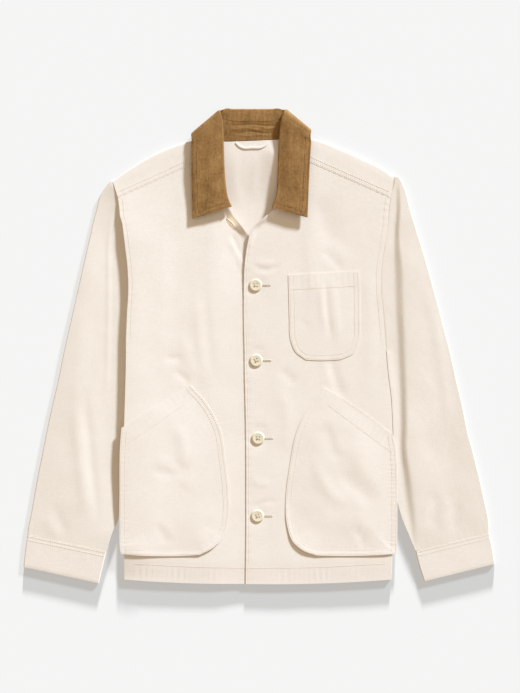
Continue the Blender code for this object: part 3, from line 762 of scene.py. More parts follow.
def neck_lift(x, y):
    """The back is raised this much over the collar that is turned under it."""
    sides = ease((128 - np.abs(x - NECK_MIDDLE)) / 30)
    rise = NECK_RISE + SIDE_RISE * np.exp(-((x - 30) / 20) ** 2) * ease((336 - y) / 26)
    rise = rise * ease((y - 226) / 90) * ease((84 - np.abs(x - NECK_MIDDLE)) / 20)
    return NECK_LIFT * ease((y - 228) / 92) * sides + rise


# %% Lay out the back
def back():
    """From the hem up the back, round the shoulder folds and forward to the yoke seams."""
    gap = 4.5
    right = dense_rows(SHOULDER_LINE[:NECK_START + 1], gap)
    neck = dense_rows(SHOULDER_LINE[NECK_START:NECK_END + 1], gap)[1:-1]
    left = dense_rows(SHOULDER_LINE[NECK_END:], gap)
    line = np.vstack([right, neck, left])
    wraps = np.repeat([True, False, True], [len(right), len(neck), len(left)])
    along = np.gradient(line, axis=0)
    for part in (slice(0, len(right)), slice(len(line) - len(left), len(line))):
        along[part] = np.gradient(line[part], axis=0)
    out = to_the_left(unit(along)) * wraps[:, None]
    lift = neck_lift(*line.T)
    fold = line - out * FOLD_REACH
    shares = (line[:, 0] - line[0, 0]) / (line[-1, 0] - line[0, 0])

    stations = dense_rows(SEAM_STATIONS, 6, spots=((1, 0), (2, 0)))
    y, left_x, right_x = (column[:, None] for column in stations.T)
    inwards = mix(HALF_GAP, FOLD_REACH + SIDE_TURN + 0.4, below_arm(y))
    near_top = ease((y - 40) / (SEAM_STATIONS[-1][0] - 40))
    x = mix(right_x + inwards, left_x - inwards, shares)
    drift = fold - mix(fold[0], fold[-1], shares[:, None])
    px = x + drift[:, 0] * near_top
    py = y + drift[:, 1] * near_top * 0.98
    inner = relief(px, py, INSIDE_FOLDS)
    flat = np.dstack([px, py, neck_lift(px, py) + np.maximum(inner, 0)])
    fold_line = np.column_stack([fold, lift + np.maximum(relief(*fold.T, INSIDE_FOLDS), 0)])[None]
    arc = fold_round(fold, out, lift, BODY_TOP + lift * 0, lift * 0 + FOLD_REACH)
    arc = arc[:, ::-1].transpose(1, 0, 2)

    ends = []
    for px, py in line:
        (nx, ny), (ax, ay) = YOKE_LEFT if px > NECK_MIDDLE else YOKE_RIGHT
        edge_x = line[-1, 0] if px > NECK_MIDDLE else line[0, 0]
        start_x = SHOULDER_LINE[NECK_END if px > NECK_MIDDLE else NECK_START][0]
        share = (px - start_x) / (edge_x - start_x)
        ends.append((mix(nx, ax, share), mix(ny, ay, share)))
    shares = np.array([0, .08, .18, .3, .42, .54, .66, .76, .84, .9, .94, .97, .985, 1])[:, None]
    sx, sy = (mix(start, end, shares) for start, end in zip(fold.T, np.array(ends).T))
    high = mix(BODY_TOP, body_height(sx, sy) + LAP, ease(shares * 4))
    for seam in (YOKE_LEFT, YOKE_RIGHT):
        high += 0.16 * gathers(sx, sy, seam, 7, 9, 2.2)
        for row in YOKE_STITCHES:
            high += stitch_groove(sx, sy, shifted(seam, row), 0.28 / (1 + row))
    strip = np.dstack([sx, sy, high])
    grid = np.concatenate([flat, fold_line, arc, strip], axis=0)
    skip = no_cells(grid)
    skip[len(flat):, :] = ~(wraps[:-1] & wraps[1:])
    return cloth("back_panel", grid[:, ::-1], BODY_CANVAS, skip=skip[:, ::-1])


back_panel = back()
dress(back_panel, "back")

# %% [markdown]
# ## Sleeves
#
# A sleeve is a tube that lies flattened beside the body. On the wearer's right it drops
# straight off the body at the armhole into a valley, and then rises again; on the left it
# runs level to a crease and steps up there. Each row of the table is one section across the
# arm. The rows of the crown start at the armhole seam and are open there, and those of the
# forearm are closed rings.

# %% Tables for the sleeves
# outer x, y, how far in the valley is, how deep it is; the inner ends come from the armhole
RIGHT_CROWN = (
    (-243.5, 266.0, 0, 0), (-252, 254, 2, .2), (-259.5, 241, 5, .35), (-264, 222, 8, .5),
    (-269.5, 201, 10, .65), (-273.5, 183, 13, .8), (-278, 163, 14, .92), (-283.5, 139, 16, 1),
    (-290, 110, 16, 1), (-299, 70, 18, 1), (-309.5, 24, 20, 1), (-320, -25, 21, 1),
)
LEFT_CROWN = (
    (232, 266, 8, .2), (236, 257, 10.8, .5), (240, 243, 12.8, .7), (244, 226, 14.8, .75),
    (248.5, 210, 15.8, .8), (253.5, 194, 15.2, .75), (259, 176, 17, .75), (265.5, 156, 20.6, .85),
    (272.5, 132, 26.2, 1), (283, 94, 29.2, 1), (297, 41, 27.2, 1), (309, -6, 26, 1),
)
# inner x, y, outer x, y, how far in the valley is, how deep it is
RIGHT_FOREARM = (
    (-216.3, -14, -325, -50, 21, 1), (-216.7, -44, -331, -76, 21, 1),
    (-217.7, -78, -337.5, -104, 20, 1), (-218.9, -120, -344.5, -137, 18, 1),
    (-220, -165, -352, -175, 15, 1), (-222.5, -210, -359.5, -212, 13, .9),
    (-227, -252, -366, -249, 9, .5), (-229, -282, -371.5, -279, 6, .2),
    (-237.5, -301, -374.5, -292, 3, 0), (-247.6, -332.3, -375.9, -305.3, 3, 0),
)
LEFT_FOREARM = (
    (206.1, -14, 315, -31, 25, 1), (208.8, -44, 321, -59, 23.5, 1),
    (213.1, -78, 328.5, -90, 20.3, 1), (215.7, -120, 338, -137, 18.6, 1.15),
    (217.6, -165, 347.5, -173, 15.8, 1.1),
    (220, -210, 356.5, -209, 19, 1), (223, -250, 363.5, -240, 21, .8),
    (229.5, -275, 368.5, -262, 18, .6), (242, -306, 372.5, -286, 9, .3),
    (252.8, -331.6, 373.0, -302.6, 3, 0),
)
SLEEVE_FOLDS = [
    (0.8, 3, 4, (-237, 240), (-243, 180), (-244, 80), (-246, -40), (-248, -110)),
    (-1.3, 7, 9, (-285, -60), (-276, -150), (-268, -230), (-259, -300)),
    (1.0, 12, 8, (-300, -70), (-295, -150), (-286, -220), (-280, -290)),
    (-0.6, 7, 9, (-334, -250), (-324, -280), (-308, -312)),
    (0.5, 8, 8, (-346, -270), (-338, -290), (-322, -312)),
    (0.7, 18, 18, (-290, 90), (-306, 0), (-322, -90)),
    (-0.6, 14, 14, (-262, 60), (-272, -20), (-284, -90)),
    (1.0, 10, 10, (262, 120), (284, 40), (300, -60), (312, -160)),
    (-0.9, 9, 12, (286, -230), (284, -262), (276, -300)),
    (0.9, 9, 9, (302, -240), (300, -270), (296, -300)),
    (-0.8, 9, 9, (322, -250), (318, -280), (312, -304)),
    (0.7, 18, 18, (322, -60), (338, -140), (346, -210)),
    (-0.6, 16, 16, (250, -60), (268, -130), (284, -190)),
]
RIGHT_TIP = (-238.35, 267.0, -239.9, 268.7, 0, 0)     # the top of each crown, in the same columns
LEFT_TIP = (219.15, 274.4, 227.4, 272.9, 0, 0)
SLEEVE_CLEARANCE = 0.15
VALLEY_FLOOR = 2.3
CREASE_FALL, CREASE_STEP = 0.4, 3.2   # the left valley: its fall to the crease, and the step there
LEFT_LIP = 0.45         # the left sleeve's edge stands this much over the body's side
SEAM_RUN = 2.0
TIP_SHARE, TIP_REACH = 0.12, 0.4      # a crown's end is turned down: its height, and how far past
CUFF_PUCKERS = 9.2      # the puckers lie this far above the sleeve's last row


# %% Lay out a sleeve
def sleeve_rows(side, tip, crown, forearm):
    """One table of sections from the crown to the cuff seam."""
    stations = SEAM_STATIONS[:8:-1]
    upper = [(seam_x(station, side) + side * HALF_GAP, station[0], *outer)
             for station, outer in zip(stations, crown)]
    lower = [(row[0] + side * SLEEVE_CLEARANCE, *row[1:]) for row in forearm]
    table = dense_rows([tip] + upper + lower, 4.5, spots=((0, 1), (2, 3)))
    return np.vstack([table[:1] + (0, TIP_REACH, 0, TIP_REACH, 0, 0), table])


def right_valley(run, valley, depth, plain):
    """Straight off the body's edge into the valley, then slowly up: heights."""
    floor = mix(plain, VALLEY_FLOOR, depth)
    up = ease((run - valley * 0.6) / (valley * 0.9 + 56))
    return mix(floor, plain, up)


def left_valley(run, valley, depth, plain):
    """Level from the body's edge to a crease, up a soft step there, and slowly down again."""
    reach = np.clip(valley * 0.27, 4.2, 8)
    fall = CREASE_FALL * ease(run / np.maximum(valley - reach, 1)) * depth
    step = CREASE_STEP * depth * ease((run - valley + reach) / (2 * reach))
    settle = (CREASE_STEP - CREASE_FALL) * depth * ease((run - valley - reach) / 76)
    return plain - fall + step - settle


def sleeve(name, side, tip, crown, forearm):
    """A sleeve: over the top from the inside out, round the outer fold and back beneath."""
    rows = sleeve_rows(side, tip, crown, forearm)
    inner, outer, valley, depth = rows[:, 0:2], rows[:, 2:4], rows[:, 4], rows[:, 5]
    width = np.linalg.norm(outer - inner, axis=1)
    along = (outer - inner) / width[:, None]
    closed = inner[:, 1] < UNDERARM - 8
    radius = np.minimum(FOLD_REACH, width / 2.2)
    flat = width - radius
    spread = edge_spread(float(flat.max()), 4, fine=(0, .7, 1.6, 2.8, 4.2, 6, 8.4))
    shares = spread / spread[-1]
    nose = np.where(closed, SIDE_REACH, 0.0)
    run = nose[:, None] + (flat - nose)[:, None] * shares
    x, y = step_out(inner, along, run)
    shape = left_valley if side > 0 else right_valley
    depth = depth * np.minimum(1, flat / 40)
    height = shape(run, np.maximum(valley, 1)[:, None], depth[:, None], BODY_TOP)
    height += relief(x, y, SLEEVE_FOLDS)
    slow = 0.3 * wander(x, y, 60, 5.5 + side) + 0.13 * wander(x, y, 24, 9.1)
    height += slow * ease((flat[:, None] - run) / 20) * ease(run / 12)
    seam_height = np.minimum(body_height(x, y), BODY_TOP + 4.5) - 0.45
    started = np.where(closed[:, None], 1.0, ease((run + 0.5) / SEAM_RUN))
    height = mix(seam_height, height, started)
    if side > 0:
        height += LEFT_LIP * closed[:, None] * (1 - ease(run / 14))
    height[0] *= TIP_SHARE
    puckers = shifted((inner[-1], outer[-1]), CUFF_PUCKERS)
    height += 0.12 * gathers(x, y, puckers, 8, 9, 1.7)
    top = np.dstack([x, y, height])
    last = height[:, -1]
    end = inner + along * flat[:, None]
    around = fold_round(end, along, last * 0, last, radius)
    low_shares = shares[::-3]
    low_shares = np.append(low_shares, 0) if low_shares[-1] else low_shares
    low_run = nose[:, None] + (flat - nose)[:, None] * low_shares
    lx, ly = step_out(inner, along, low_run)
    rise = 0.5 * (1 + wander(lx, ly, 40, 2.7)) * fading(low_run, flat[:, None], 20)
    bottom = np.dstack([lx, ly, rise])
    first = inner + along * nose[:, None]
    nose_round = fold_round(first, -along, height[:, 0] * 0, height[:, 0], nose, steps=5)[:, ::-1]
    tucked = []
    for reach, drop in ((TUCK, TUCK_DROP), (1.8, TUCK_DROP - 0.2), (0.8, TUCK_DROP - 0.6)):
        under = top[:, :1].copy()
        under[:, 0, :2] -= along * reach
        under[:, 0, 2] = np.maximum(under[:, 0, 2] - (drop - 0.45) * ~closed, 0.4)
        tucked.append(under)
    grid = np.concatenate(tucked + [top, around, bottom, nose_round, top[:, :1]], axis=1)
    skip = no_cells(grid)
    skip[~(closed[:-1] & closed[1:]), -1 - nose_round.shape[1]:] = True
    skip[closed[:-1] | closed[1:], :len(tucked)] = True
    if side > 0:
        grid, skip, closed = grid[::-1], skip[::-1], closed[::-1]
    return cloth(name, grid, SLEEVE_CANVAS, skip=skip, ring=closed, ring_start=len(tucked))


left_sleeve = sleeve("left_sleeve", 1, LEFT_TIP, LEFT_CROWN, LEFT_FOREARM)
dress(left_sleeve, "sleeve_left")
right_sleeve = sleeve("right_sleeve", -1, RIGHT_TIP, RIGHT_CROWN, RIGHT_FOREARM)
dress(right_sleeve, "sleeve_right")

# %% [markdown]
# ## Cuffs
#
# A cuff is a straight band of double canvas round the end of the sleeve. It lies flat as
# a short tube, a little stiffer than the sleeve, so it has hardly any folds. The band's
# seam stands slightly proud of the sleeve, and its end is a pressed fold.

# %% Lay out the cuffs
# inner x, y, outer x, y, from the seam to the open end
RIGHT_CUFF = ((-247.63, -332.4, -375.9, -305.4), (-253.5, -357, -379.5, -331),
              (-260, -384, -382.3, -357.5))
LEFT_CUFF = ((252.83, -331.7, 373.03, -302.7), (259, -356, 378.3, -328),
             (267, -381, 382.3, -352.6))
CUFF_DROP = 1.0         # its end lies this much lower than its seam
CUFF_STITCH, CUFF_ROWS = 2.5, 6      # the first row of stitches below the seam, and the next


def cuff(name, side, table):
    """A cuff band: a flattened tube whose top and bottom lie on each other."""
    rows = dense_rows([(row[0] + side * SLEEVE_CLEARANCE, *row[1:]) for row in table], 3.2)
    inner, outer = rows[:, 0:2], rows[:, 2:4]
    width = np.linalg.norm(outer - inner, axis=1)
    along = (outer - inner) / width[:, None]
    low, high = inner + along * FOLD_REACH, outer - along * FOLD_REACH
    spread = edge_spread(float(width.max() - 2 * FOLD_REACH), 4)
    x, y = step_out(low, high - low, spread / spread[-1])
    down = np.linspace(0, 1, len(rows))[:, None]
    height = BODY_TOP + 0.2 - CUFF_DROP * down + 0.15 * wander(x, y, 30, 4.4 + side)
    height -= 0.3 * ease((down - 0.93) / 0.07)
    start = shifted((inner[0], outer[0]), -CUFF_STITCH)
    height += stitch_groove(x, y, start, 0.1) + 0.12 * gathers(x, y, start, 6, 8, 3.3)
    top = np.dstack([x, y, height])
    reach = height[:, -1] * 0 + FOLD_REACH
    around = fold_round(high, along, height[:, -1] * 0, height[:, -1], reach)
    bottom = top[:, ::-1] * (1, 1, 0)
    back_round = fold_round(low, -along, height[:, 0] * 0, height[:, 0], reach)
    grid = np.concatenate([top, around, bottom, back_round[:, ::-1], top[:, :1]], axis=1)
    if side > 0:
        grid = grid[::-1]
    return cloth(name, grid, BODY_CANVAS, wall=1.5, ring=np.ones(len(grid), bool)), start


left_cuff, left_cuff_stitch = cuff("left_cuff", 1, LEFT_CUFF)
dress(left_cuff, "cuff_left")
right_cuff, right_cuff_stitch = cuff("right_cuff", -1, RIGHT_CUFF)
dress(right_cuff, "cuff_right")

# %% [markdown]
# ## Patch pockets
#
# A patch pocket is a flat piece laid on the front and sewn round its sides and bottom with
# two rows of stitches. Its mouth is hemmed and stands open a little, and its bag swells in
# the middle. The edge outside the stitches isn't held down, so it throws a thin shadow. The
# pockets take their height from `body_height`, so they follow every fold beneath them.

# %% Tables for the pockets
# inner x, y, outer x, y, bow, from the mouth to the bottom
LEFT_POCKET = (
    (103, -66, 217, -144, 4), (82, -94, 221, -165, 1), (62, -134, 223, -192, 0),
    (49, -196, 224, -228, 0), (43, -249, 224, -262, 0), (45, -289, 224, -292, 0),
    (55, -317, 223.5, -313, 0), (72, -331, 223, -326, 0), (93, -338.5, 222.5, -336, -2),
)
RIGHT_POCKET = (
    (-112, -63, -223, -132, 0), (-88, -89, -225, -158, 0), (-63, -137, -226, -190, 0),
    (-56, -180, -226, -222, 0), (-50, -235, -226, -257, 0), (-50, -276, -226, -286, 0),
    (-59, -309, -226, -310, 0), (-74, -325.5, -225.5, -325, 0), (-96, -337.5, -224, -336, -3),
)
CHEST_POCKET = (
    (47, 116, 162, 122, 0), (48, 80, 163, 86, 0), (49, 43, 163, 48, 0), (51, 10, 162, 10, 0),
    (59, -9, 153, -11, 0), (75, -21.5, 133, -21, -1.5),
)
POCKET_FOLDS = [
    (-1.0, 8, 12, (107, -120), (114, -150), (124, -176), (136, -190)),
    (-1.0, 14, 12, (128, -200), (146, -220), (166, -236), (190, -264)),
    (0.9, 20, 14, (140, -140), (160, -180), (184, -216), (204, -244)),
    (0.9, 10, 10, (92, -170), (98, -210), (118, -240), (150, -262)),
    (-0.7, 8, 8, (150, -290), (166, -312), (172, -332)),
    (-0.7, 9, 7, (-180, -200), (-150, -206), (-112, -207)),
    (-0.5, 6, 8, (-142, -184), (-126, -196), (-112, -206)),
    (0.6, 14, 10, (-180, -180), (-150, -192), (-124, -214), (-100, -236)),
    (-0.5, 7, 7, (-172, -286), (-160, -300), (-148, -322)),
    (0.4, 8, 8, (-160, -280), (-146, -296), (-136, -316)),
    (0.8, 10, 10, (-132, -120), (-124, -160), (-120, -196)),
]
CHEST_FOLDS = [
    (-1.1, 3, 6, (108, 112), (109, 90), (112, 50), (118, 6)),
    (0.7, 9, 5, (98, 116), (100, 90), (102, 60), (108, 20)),
    (0.6, 5, 8, (118, 118), (122, 80), (126, 40), (130, 0)),
    (-0.6, 4, 4, (66, 46), (72, 36), (80, 30)),
]


# %% Lay out a pocket
def pocket_edge(table):
    """The sewn edge: down the inner side, along the bottom and up the outer side."""
    rows = np.array(table)
    inner = [tuple(row[0:2]) for row in rows]
    outer = [tuple(row[2:4]) for row in rows[::-1]]
    bottom = [(mix(inner[-1][0], outer[0][0], share),
               mix(inner[-1][1], outer[0][1], share) + bowed(rows[-1, 4], share))
              for share in (.2, .4, .6, .8)]
    return inner + bottom + outer


def inset(line, distance):
    """The same line, moved to its left or, with a negative distance, to its right."""
    line = dense_rows(line, 4)
    moved = line + to_the_left(unit(np.gradient(line, axis=0))) * distance
    return [tuple(point) for point in moved]


POCKET_WALL = 0.5
POCKET_STITCHES = (2.4, 8.8)          # the two rows, from the edge
CORNER_SHARE, CORNER_REACH = 0.05, 44


def pocket(name, side, table, folds, hem, lift, puff, corners=()):
    """A patch pocket; hem is how far the mouth's stitches lie below its edge.

    lift is how high the edge stands off the front, and the shares of its length between
    which it does. Each corner is a share of the length and how much higher it stands.
    """
    rows = dense_rows(table, 3.0, spots=((0, 1), (2, 3)))
    inner, outer, bow = rows[:, 0:2], rows[:, 2:4], rows[:, 4:5]
    width = np.linalg.norm(outer - inner, axis=1)
    spread = edge_spread(float(width.max()), 3.5, fine=(0, 1, 2.2, 3.6, 5.2, 7, 9, 11.2))
    shares = spread / spread[-1]
    x, y = step_out(inner, outer - inner, shares)
    y = y + bowed(bow, shares)
    edge = pocket_edge(table)
    away, run, length = along_line(edge, x, y)
    away, run = np.abs(away), run / length
    from_mouth = np.abs(along_line([edge[0], edge[-1]], x, y)[0])
    lines = dict(zip(("outer", "inner"), (inset(edge, side * row) for row in POCKET_STITCHES)))
    lines["mouth"] = [(edge[0][0] + side * hem * 0.3, edge[0][1] - hem),
                      (edge[-1][0] - side * 2, edge[-1][1] - hem)]
    under = body_height(x, y)
    height = under + 0.12 + POCKET_WALL
    height += puff * ease(away / 70) * ease(0.35 + from_mouth / 60)
    height += relief(x, y, folds) * ease(away / 14)
    amount, start, end = lift
    lifted = ease((run - start) / 0.07) * ease((end - run) / 0.07)
    height += (0.1 + amount * lifted) * (1 - ease(away / 12))
    for share, more in corners:
        near = np.exp(-((run - share) / CORNER_SHARE) ** 2)
        height += more * near * (1 - ease(away / CORNER_REACH))
    for line in lines.values():
        height += stitch_groove(x, y, line, depth=0.12)
    height += 0.13 * gathers(x, y, lines["inner"], 5, 6.5, 1.1)
    middle = shifted(lines["mouth"], hem / 2)
    height += (0.1 + 0.06 * side) * gathers(x, y, middle, hem * 0.45, 9, 0.4)
    height = np.maximum(height, under + 0.1 + POCKET_WALL)
    grid = np.dstack([x, y, height])
    if side > 0:
        grid = grid[:, ::-1]
    return cloth(name, grid, BODY_CANVAS, wall=POCKET_WALL), lines


chest_pocket, chest_lines = pocket("chest_patch", 1, CHEST_POCKET, CHEST_FOLDS, 24,
                                   (0, 0, 1), 0.7)
dress(chest_pocket, "chest_pocket")
left_pocket, left_pocket_lines = pocket("left_patch", 1, LEFT_POCKET, POCKET_FOLDS, 29,
                                         (0.5, 0.30, 0.74), 1.6, ((0.45, 1.8), (0.66, 0.7)))
dress(left_pocket, "pocket_left")
right_pocket, right_pocket_lines = pocket("right_patch", -1, RIGHT_POCKET, POCKET_FOLDS, 31,
                                           (0.5, 0.40, 0.74), 1.6, ((0.46, 1.2), (0.65, 1.1)))
dress(right_pocket, "pocket_right")

# %% [markdown]
# ## The collar
#
# A shirt-shaped collar has a stand, which is sewn to the neck and rises inside, and a fall,
# which rolls over the top of it. Lying flat, the fall makes a leaf down each side of the
# neck. Behind the neck there is nowhere for it to lie, so it turns under, and the corners
# beside the neck turn over like a folded strip of paper. The same table as the CAD's gives
# each section: where the roll is, where the free edge is, and how far the section has
# turned over.

# %% Tables for the collar
ROLL = 4.4              # outer height of the rolled collar
LEFT_SETTLED, RIGHT_SETTLED = 2.1, 2.6      # the leaves have settled below the table's heights
LEFT_DROOP, RIGHT_DROOP = 0.3, 2.0          # and their tips lie this much lower still
LEFT_ROLL_SAG, SAG_REACH = 2.2, 16         # the left leaf's roll sinks further, this far in
COLLAR_BEHIND = 2.7
BACK_TILT = 1.5         # behind the neck the inside climbs this much to the roll
LIP_SHARE = 0.4         # and this share of it by the seam under the roll
CORDUROY_WALL = 1.5
LEAF_STITCHES = (2.5, 9.0)          # two rows of stitches, this far inside a leaf's edge
# roll x, y, free edge x, y, middle height, turn, lip, seam x, y, z
COLLAR = (
    (20, 224, 78, 208, 15, 0, 4, 31, 226, 8.5), (26, 240, 79, 228, 15, 0, 4, 43, 241, 7),
    (29, 262, 80, 256, 15, 0, 4, 51.5, 263, 6.5), (30, 290, 81.5, 288, 15, 0, 4, 59, 290, 6.3),
    (31, 318, 83, 315, 15, 0, 4, 61.2, 316, 6.3), (32.5, 343, 84, 329, 15, 0, 4, 60, 331, 6.3),
    (37.5, 374, 83.3, 343, 15, 0, 6, 57, 336.5, 5.8),
    (40.6, 381, 83.2, 347.8, 13.2, 45, 10, 54, 338.8, 5.2),
    (41.9, 382.8, 82.3, 349.6, 8.85, 90, 13, 51, 340, 4.6),
    (40.6, 383.4, 81.2, 349.4, 4.6, 135, 15, 47, 339, 3.8),
    (35, 384.6, 76, 344, 2.7, 180, 17, 41, 337.4, 2.9),
    (18, 385, 38, 329, 2.7, 180, 20, 27, 335.6, 2.9),
    (-13, 385, -13, 323, 2.7, 180, 20, -13, 333.8, 2.9),
    (-41, 385, -60, 327, 2.7, 180, 20, -53, 333, 2.9),
    (-57, 384.6, -98, 340.5, 2.7, 180, 17, -67, 335.4, 2.9),
    (-62.6, 382.6, -105.6, 345, 4.6, 135, 15, -73, 337, 3.8),
    (-64, 381.3, -107, 344.6, 8.85, 90, 13, -77, 338, 4.6),
    (-63.2, 379.6, -109, 342.6, 13.2, 45, 10, -80, 336.8, 5.2),
    (-61, 373, -109.6, 338, 15, 0, 6, -83, 334.5, 5.8),
    (-58, 343, -109.5, 325, 15, 0, 4, -86, 330, 6.3),
    (-57, 318, -110, 311, 15, 0, 4, -87.5, 315, 6.3),
    (-56, 290, -110, 286, 15, 0, 4, -85, 290, 6.3),
    (-54, 262, -109, 255, 15, 0, 4, -78, 262, 6.5),
    (-50, 240, -108.5, 227, 15, 0, 4, -70, 242.5, 7),
    (-44, 226, -108, 206, 15, 0, 4, -57, 233, 8.5),
)
LEAF_FOLDS = [
    (0.7, 10, 8, (64, 330), (66, 290), (62, 240)),
    (-0.6, 8, 8, (-88, 320), (-92, 280), (-90, 240)),
    (0.6, 10, 8, (-70, 300), (-74, 260), (-70, 230)),
]
STAND_FOLDS = [
    (1.0, 1.4, 2.2, (-58, 367), (-30, 365.5), (-4, 366.5), (20, 365), (44, 366)),
    (-1.1, 1.2, 1.4, (-60, 360), (-34, 358), (-14, 359.5), (14, 357.5), (46, 359)),
    (0.9, 1.4, 2.0, (-56, 354), (-38, 352), (-22, 354), (-2, 351), (12, 353)),
    (0.9, 1.4, 1.6, (0, 355), (16, 352.5), (30, 354.5), (46, 352)),
    (-0.9, 1.2, 1.6, (-52, 348), (-34, 346), (-12, 348), (8, 345.5), (30, 347)),
    (0.7, 1.2, 1.4, (-44, 343), (-20, 341), (2, 342.5), (24, 340.5)),
    (0.8, 1.2, 1.4, (-40, 376), (-16, 374.5), (8, 376), (30, 374)),
    (-0.7, 1.2, 1.2, (-50, 371), (-24, 370), (0, 371.5), (34, 370)),
]


# %% Lay out the fall and the stand
def turned_under(turn):
    """1 behind the neck, where a section has turned over, and 0 in the leaves."""
    return ease(turn / np.pi * 3 - 2)


def roll_sag(rows):
    """How much further the roll of the left leaf has sunk, section by section."""
    flat = (rows[:, 0] > NECK_MIDDLE) * (1 - ease(rows[:, 5] / 30))
    return LEFT_ROLL_SAG * flat * ease((rows[:, 1] - 235) / 25) * ease((378 - rows[:, 1]) / 30)


def collar_sections():
    """Dense sections, each with its roll, its free edge, its ways there and out, and its turn.

    The last value is half the roll's height.
    """
    rows = dense_rows(COLLAR, 3.0, spots=((0, 1), (2, 3), (7, 8)))
    rows[:, 4] = np.maximum(rows[:, 4], COLLAR_BEHIND)
    turned = ease(rows[:, 5] / 180)
    left = rows[:, 0] > NECK_MIDDLE
    settled = np.where(left, LEFT_SETTLED, RIGHT_SETTLED) * (1 - turned)
    droop = np.where(left, LEFT_DROOP, RIGHT_DROOP) * ease((290 - rows[:, 3]) / 70) * (1 - turned)
    roll, edge = rows[:, [0, 1, 4]], rows[:, [2, 3, 4]]
    roll[:, 2] -= settled
    edge[:, 2] -= settled + droop
    roll[:, 2] -= roll_sag(rows)
    across = unit((edge - roll) * (1, 1, 0))
    turn = np.radians(rows[:, 5])
    side = np.where(left, 1.0, -1.0)
    up = np.array((0, 0, 1.0))
    sideways = np.cross(across, up)
    out = up * np.cos(turn)[:, None] - sideways * (np.sin(turn) * side)[:, None]
    half = (mix(ROLL, 2 * COLLAR_BEHIND, turn / np.pi) / 2)[:, None]
    return rows, roll, edge, across, out, turn, half


def collar_fall():
    """Lip, roll and leaf of every section."""
    rows, roll, edge, across, out, turn, half = collar_sections()
    lip = rows[:, 6:7]
    line = [roll + across * lip - out * half, roll + across * (lip + half) / 2 - out * half]
    for step in range(11):
        angle = -math.pi / 2 + math.pi * step / 10
        line.append(roll + across * half * (1 - math.cos(angle)) + out * half * math.sin(angle))
    start, end = roll + across * half + out * half, edge + out * half
    straight = np.cos(np.minimum(turn, np.pi / 2))[:, None]
    sag, leaf = roll_sag(rows)[:, None], np.linalg.norm(edge - roll, axis=1)[:, None]
    leaf_shares = np.concatenate([np.linspace(0.05, 0.84, 18), [.88, .91, .94, .965, .985, 1]])
    for share in leaf_shares:
        bend = 1.2 * straight * math.sin(math.pi * share * 0.9)
        bend = bend - 0.5 * straight * ease((share - 0.985) / 0.015)
        bend = bend + sag * (ease(share * leaf / SAG_REACH) - share)
        line.append(mix(start, end, share) + out * bend)
    grid = np.stack(line, axis=1)
    x, y = grid[..., 0], grid[..., 1]
    fine = relief(x, y, LEAF_FOLDS) + 0.35 * wander(x, y, 22, 6.2) + 0.2 * wander(x, y, 9, 1.2)
    ends = [inset(fall_outline(side), side * row) for side in (1, -1) for row in LEAF_STITCHES]
    for line in ends:
        fine += stitch_groove(x, y, line, depth=0.3, width=1.1)
    fine *= straight[:, :1] * (np.arange(grid.shape[1]) > 9)
    behind = turned_under(turn)[:, None]
    climb = np.zeros(grid.shape[1])
    climb[:13] = [LIP_SHARE, 0.7] + [(1 + math.cos(math.pi * step / 10)) / 2 for step in range(11)]
    creased = behind * (np.arange(grid.shape[1]) < 4)
    grid[..., 2] += fine + relief(x, y, STAND_FOLDS) * creased + BACK_TILT * behind * climb
    skip = no_cells(grid)
    pairs = np.degrees([turn[:-1], turn[1:]])
    skip[(pairs.max(axis=0) > 8) & (pairs.min(axis=0) < 172), :4] = True
    return cloth("collar_leaves", grid, CORDUROY, wall=CORDUROY_WALL, skip=skip,
                 weave=grid * MM), ends


def fall_outline(side):
    """The free edge of one leaf and its end, as a line of x and y."""
    rows = [row for row in COLLAR if row[5] == 0 and (row[0] > NECK_MIDDLE) == (side > 0)]
    if side < 0:
        rows = rows[::-1]
    x, y, edge_x, edge_y = rows[0][:4]
    end = [(mix(x, edge_x, share), mix(y, edge_y, share)) for share in (.1, .5, .9)]
    return end + [row[2:4] for row in rows[1:]]


def collar_stand():
    """From the neck seam up to the lip of the fall."""
    rows, roll, _, across, out, turn, half = collar_sections()
    top = roll + across * (rows[:, 6:7] + 0.4) - out * half
    top[:, 2] += BACK_TILT * LIP_SHARE * turned_under(turn)
    seam = np.column_stack([rows[:, 7], rows[:, 8], rows[:, 9] + 2.0 * turn / np.pi])
    shares = np.linspace(0, 1, 28)[None, :, None]
    grid = mix(seam[:, None], top[:, None], shares)
    x, y = grid[..., 0], grid[..., 1]
    behind = (turn / np.pi)[:, None]
    grid[..., 2] += (relief(x, y, STAND_FOLDS) + 0.25 * wander(x, y, 12, 4.4)) * behind
    return cloth("collar_band", grid, CORDUROY, wall=CORDUROY_WALL, weave=grid * MM)


fall, collar_lines = collar_fall()
dress(fall, "collar_fall")
stand = collar_stand()
dress(stand, "collar_stand")

# %% [markdown]
# ## The hang loop
#
# A narrow strip of the same canvas, folded and sewn into the neck seam at both ends. It
# sags into a shallow curve on the inside of the back.

# %% Lay out the hang loop
LOOP = ((-38, 330.5), (-33.5, 325.5), (-27, 322), (-11, 321.8), (4, 322.6), (9.5, 325.5),
        (14, 330.5))
LOOP_WIDTH = 2.8


def hang_loop():
    """A flat strip along a curve, slightly rounded across."""
    line = dense_rows(LOOP, 1.5)
    across = to_the_left(unit(np.gradient(line, axis=0))) * LOOP_WIDTH / 2
    share = np.linspace(0, 1, len(line))
    rise = neck_lift(*line.T) + 2.0 + 0.4 * np.sin(np.pi * share)
    grid = np.stack([np.column_stack([line + across * place, rise - 0.15 * place ** 4])
                     for place in np.linspace(-1, 1, 7)], axis=1)
    return cloth("neck_loop", grid[:, ::-1], BODY_CANVAS, wall=0.9)


loop = hang_loop()
dress(loop, "hang_loop")

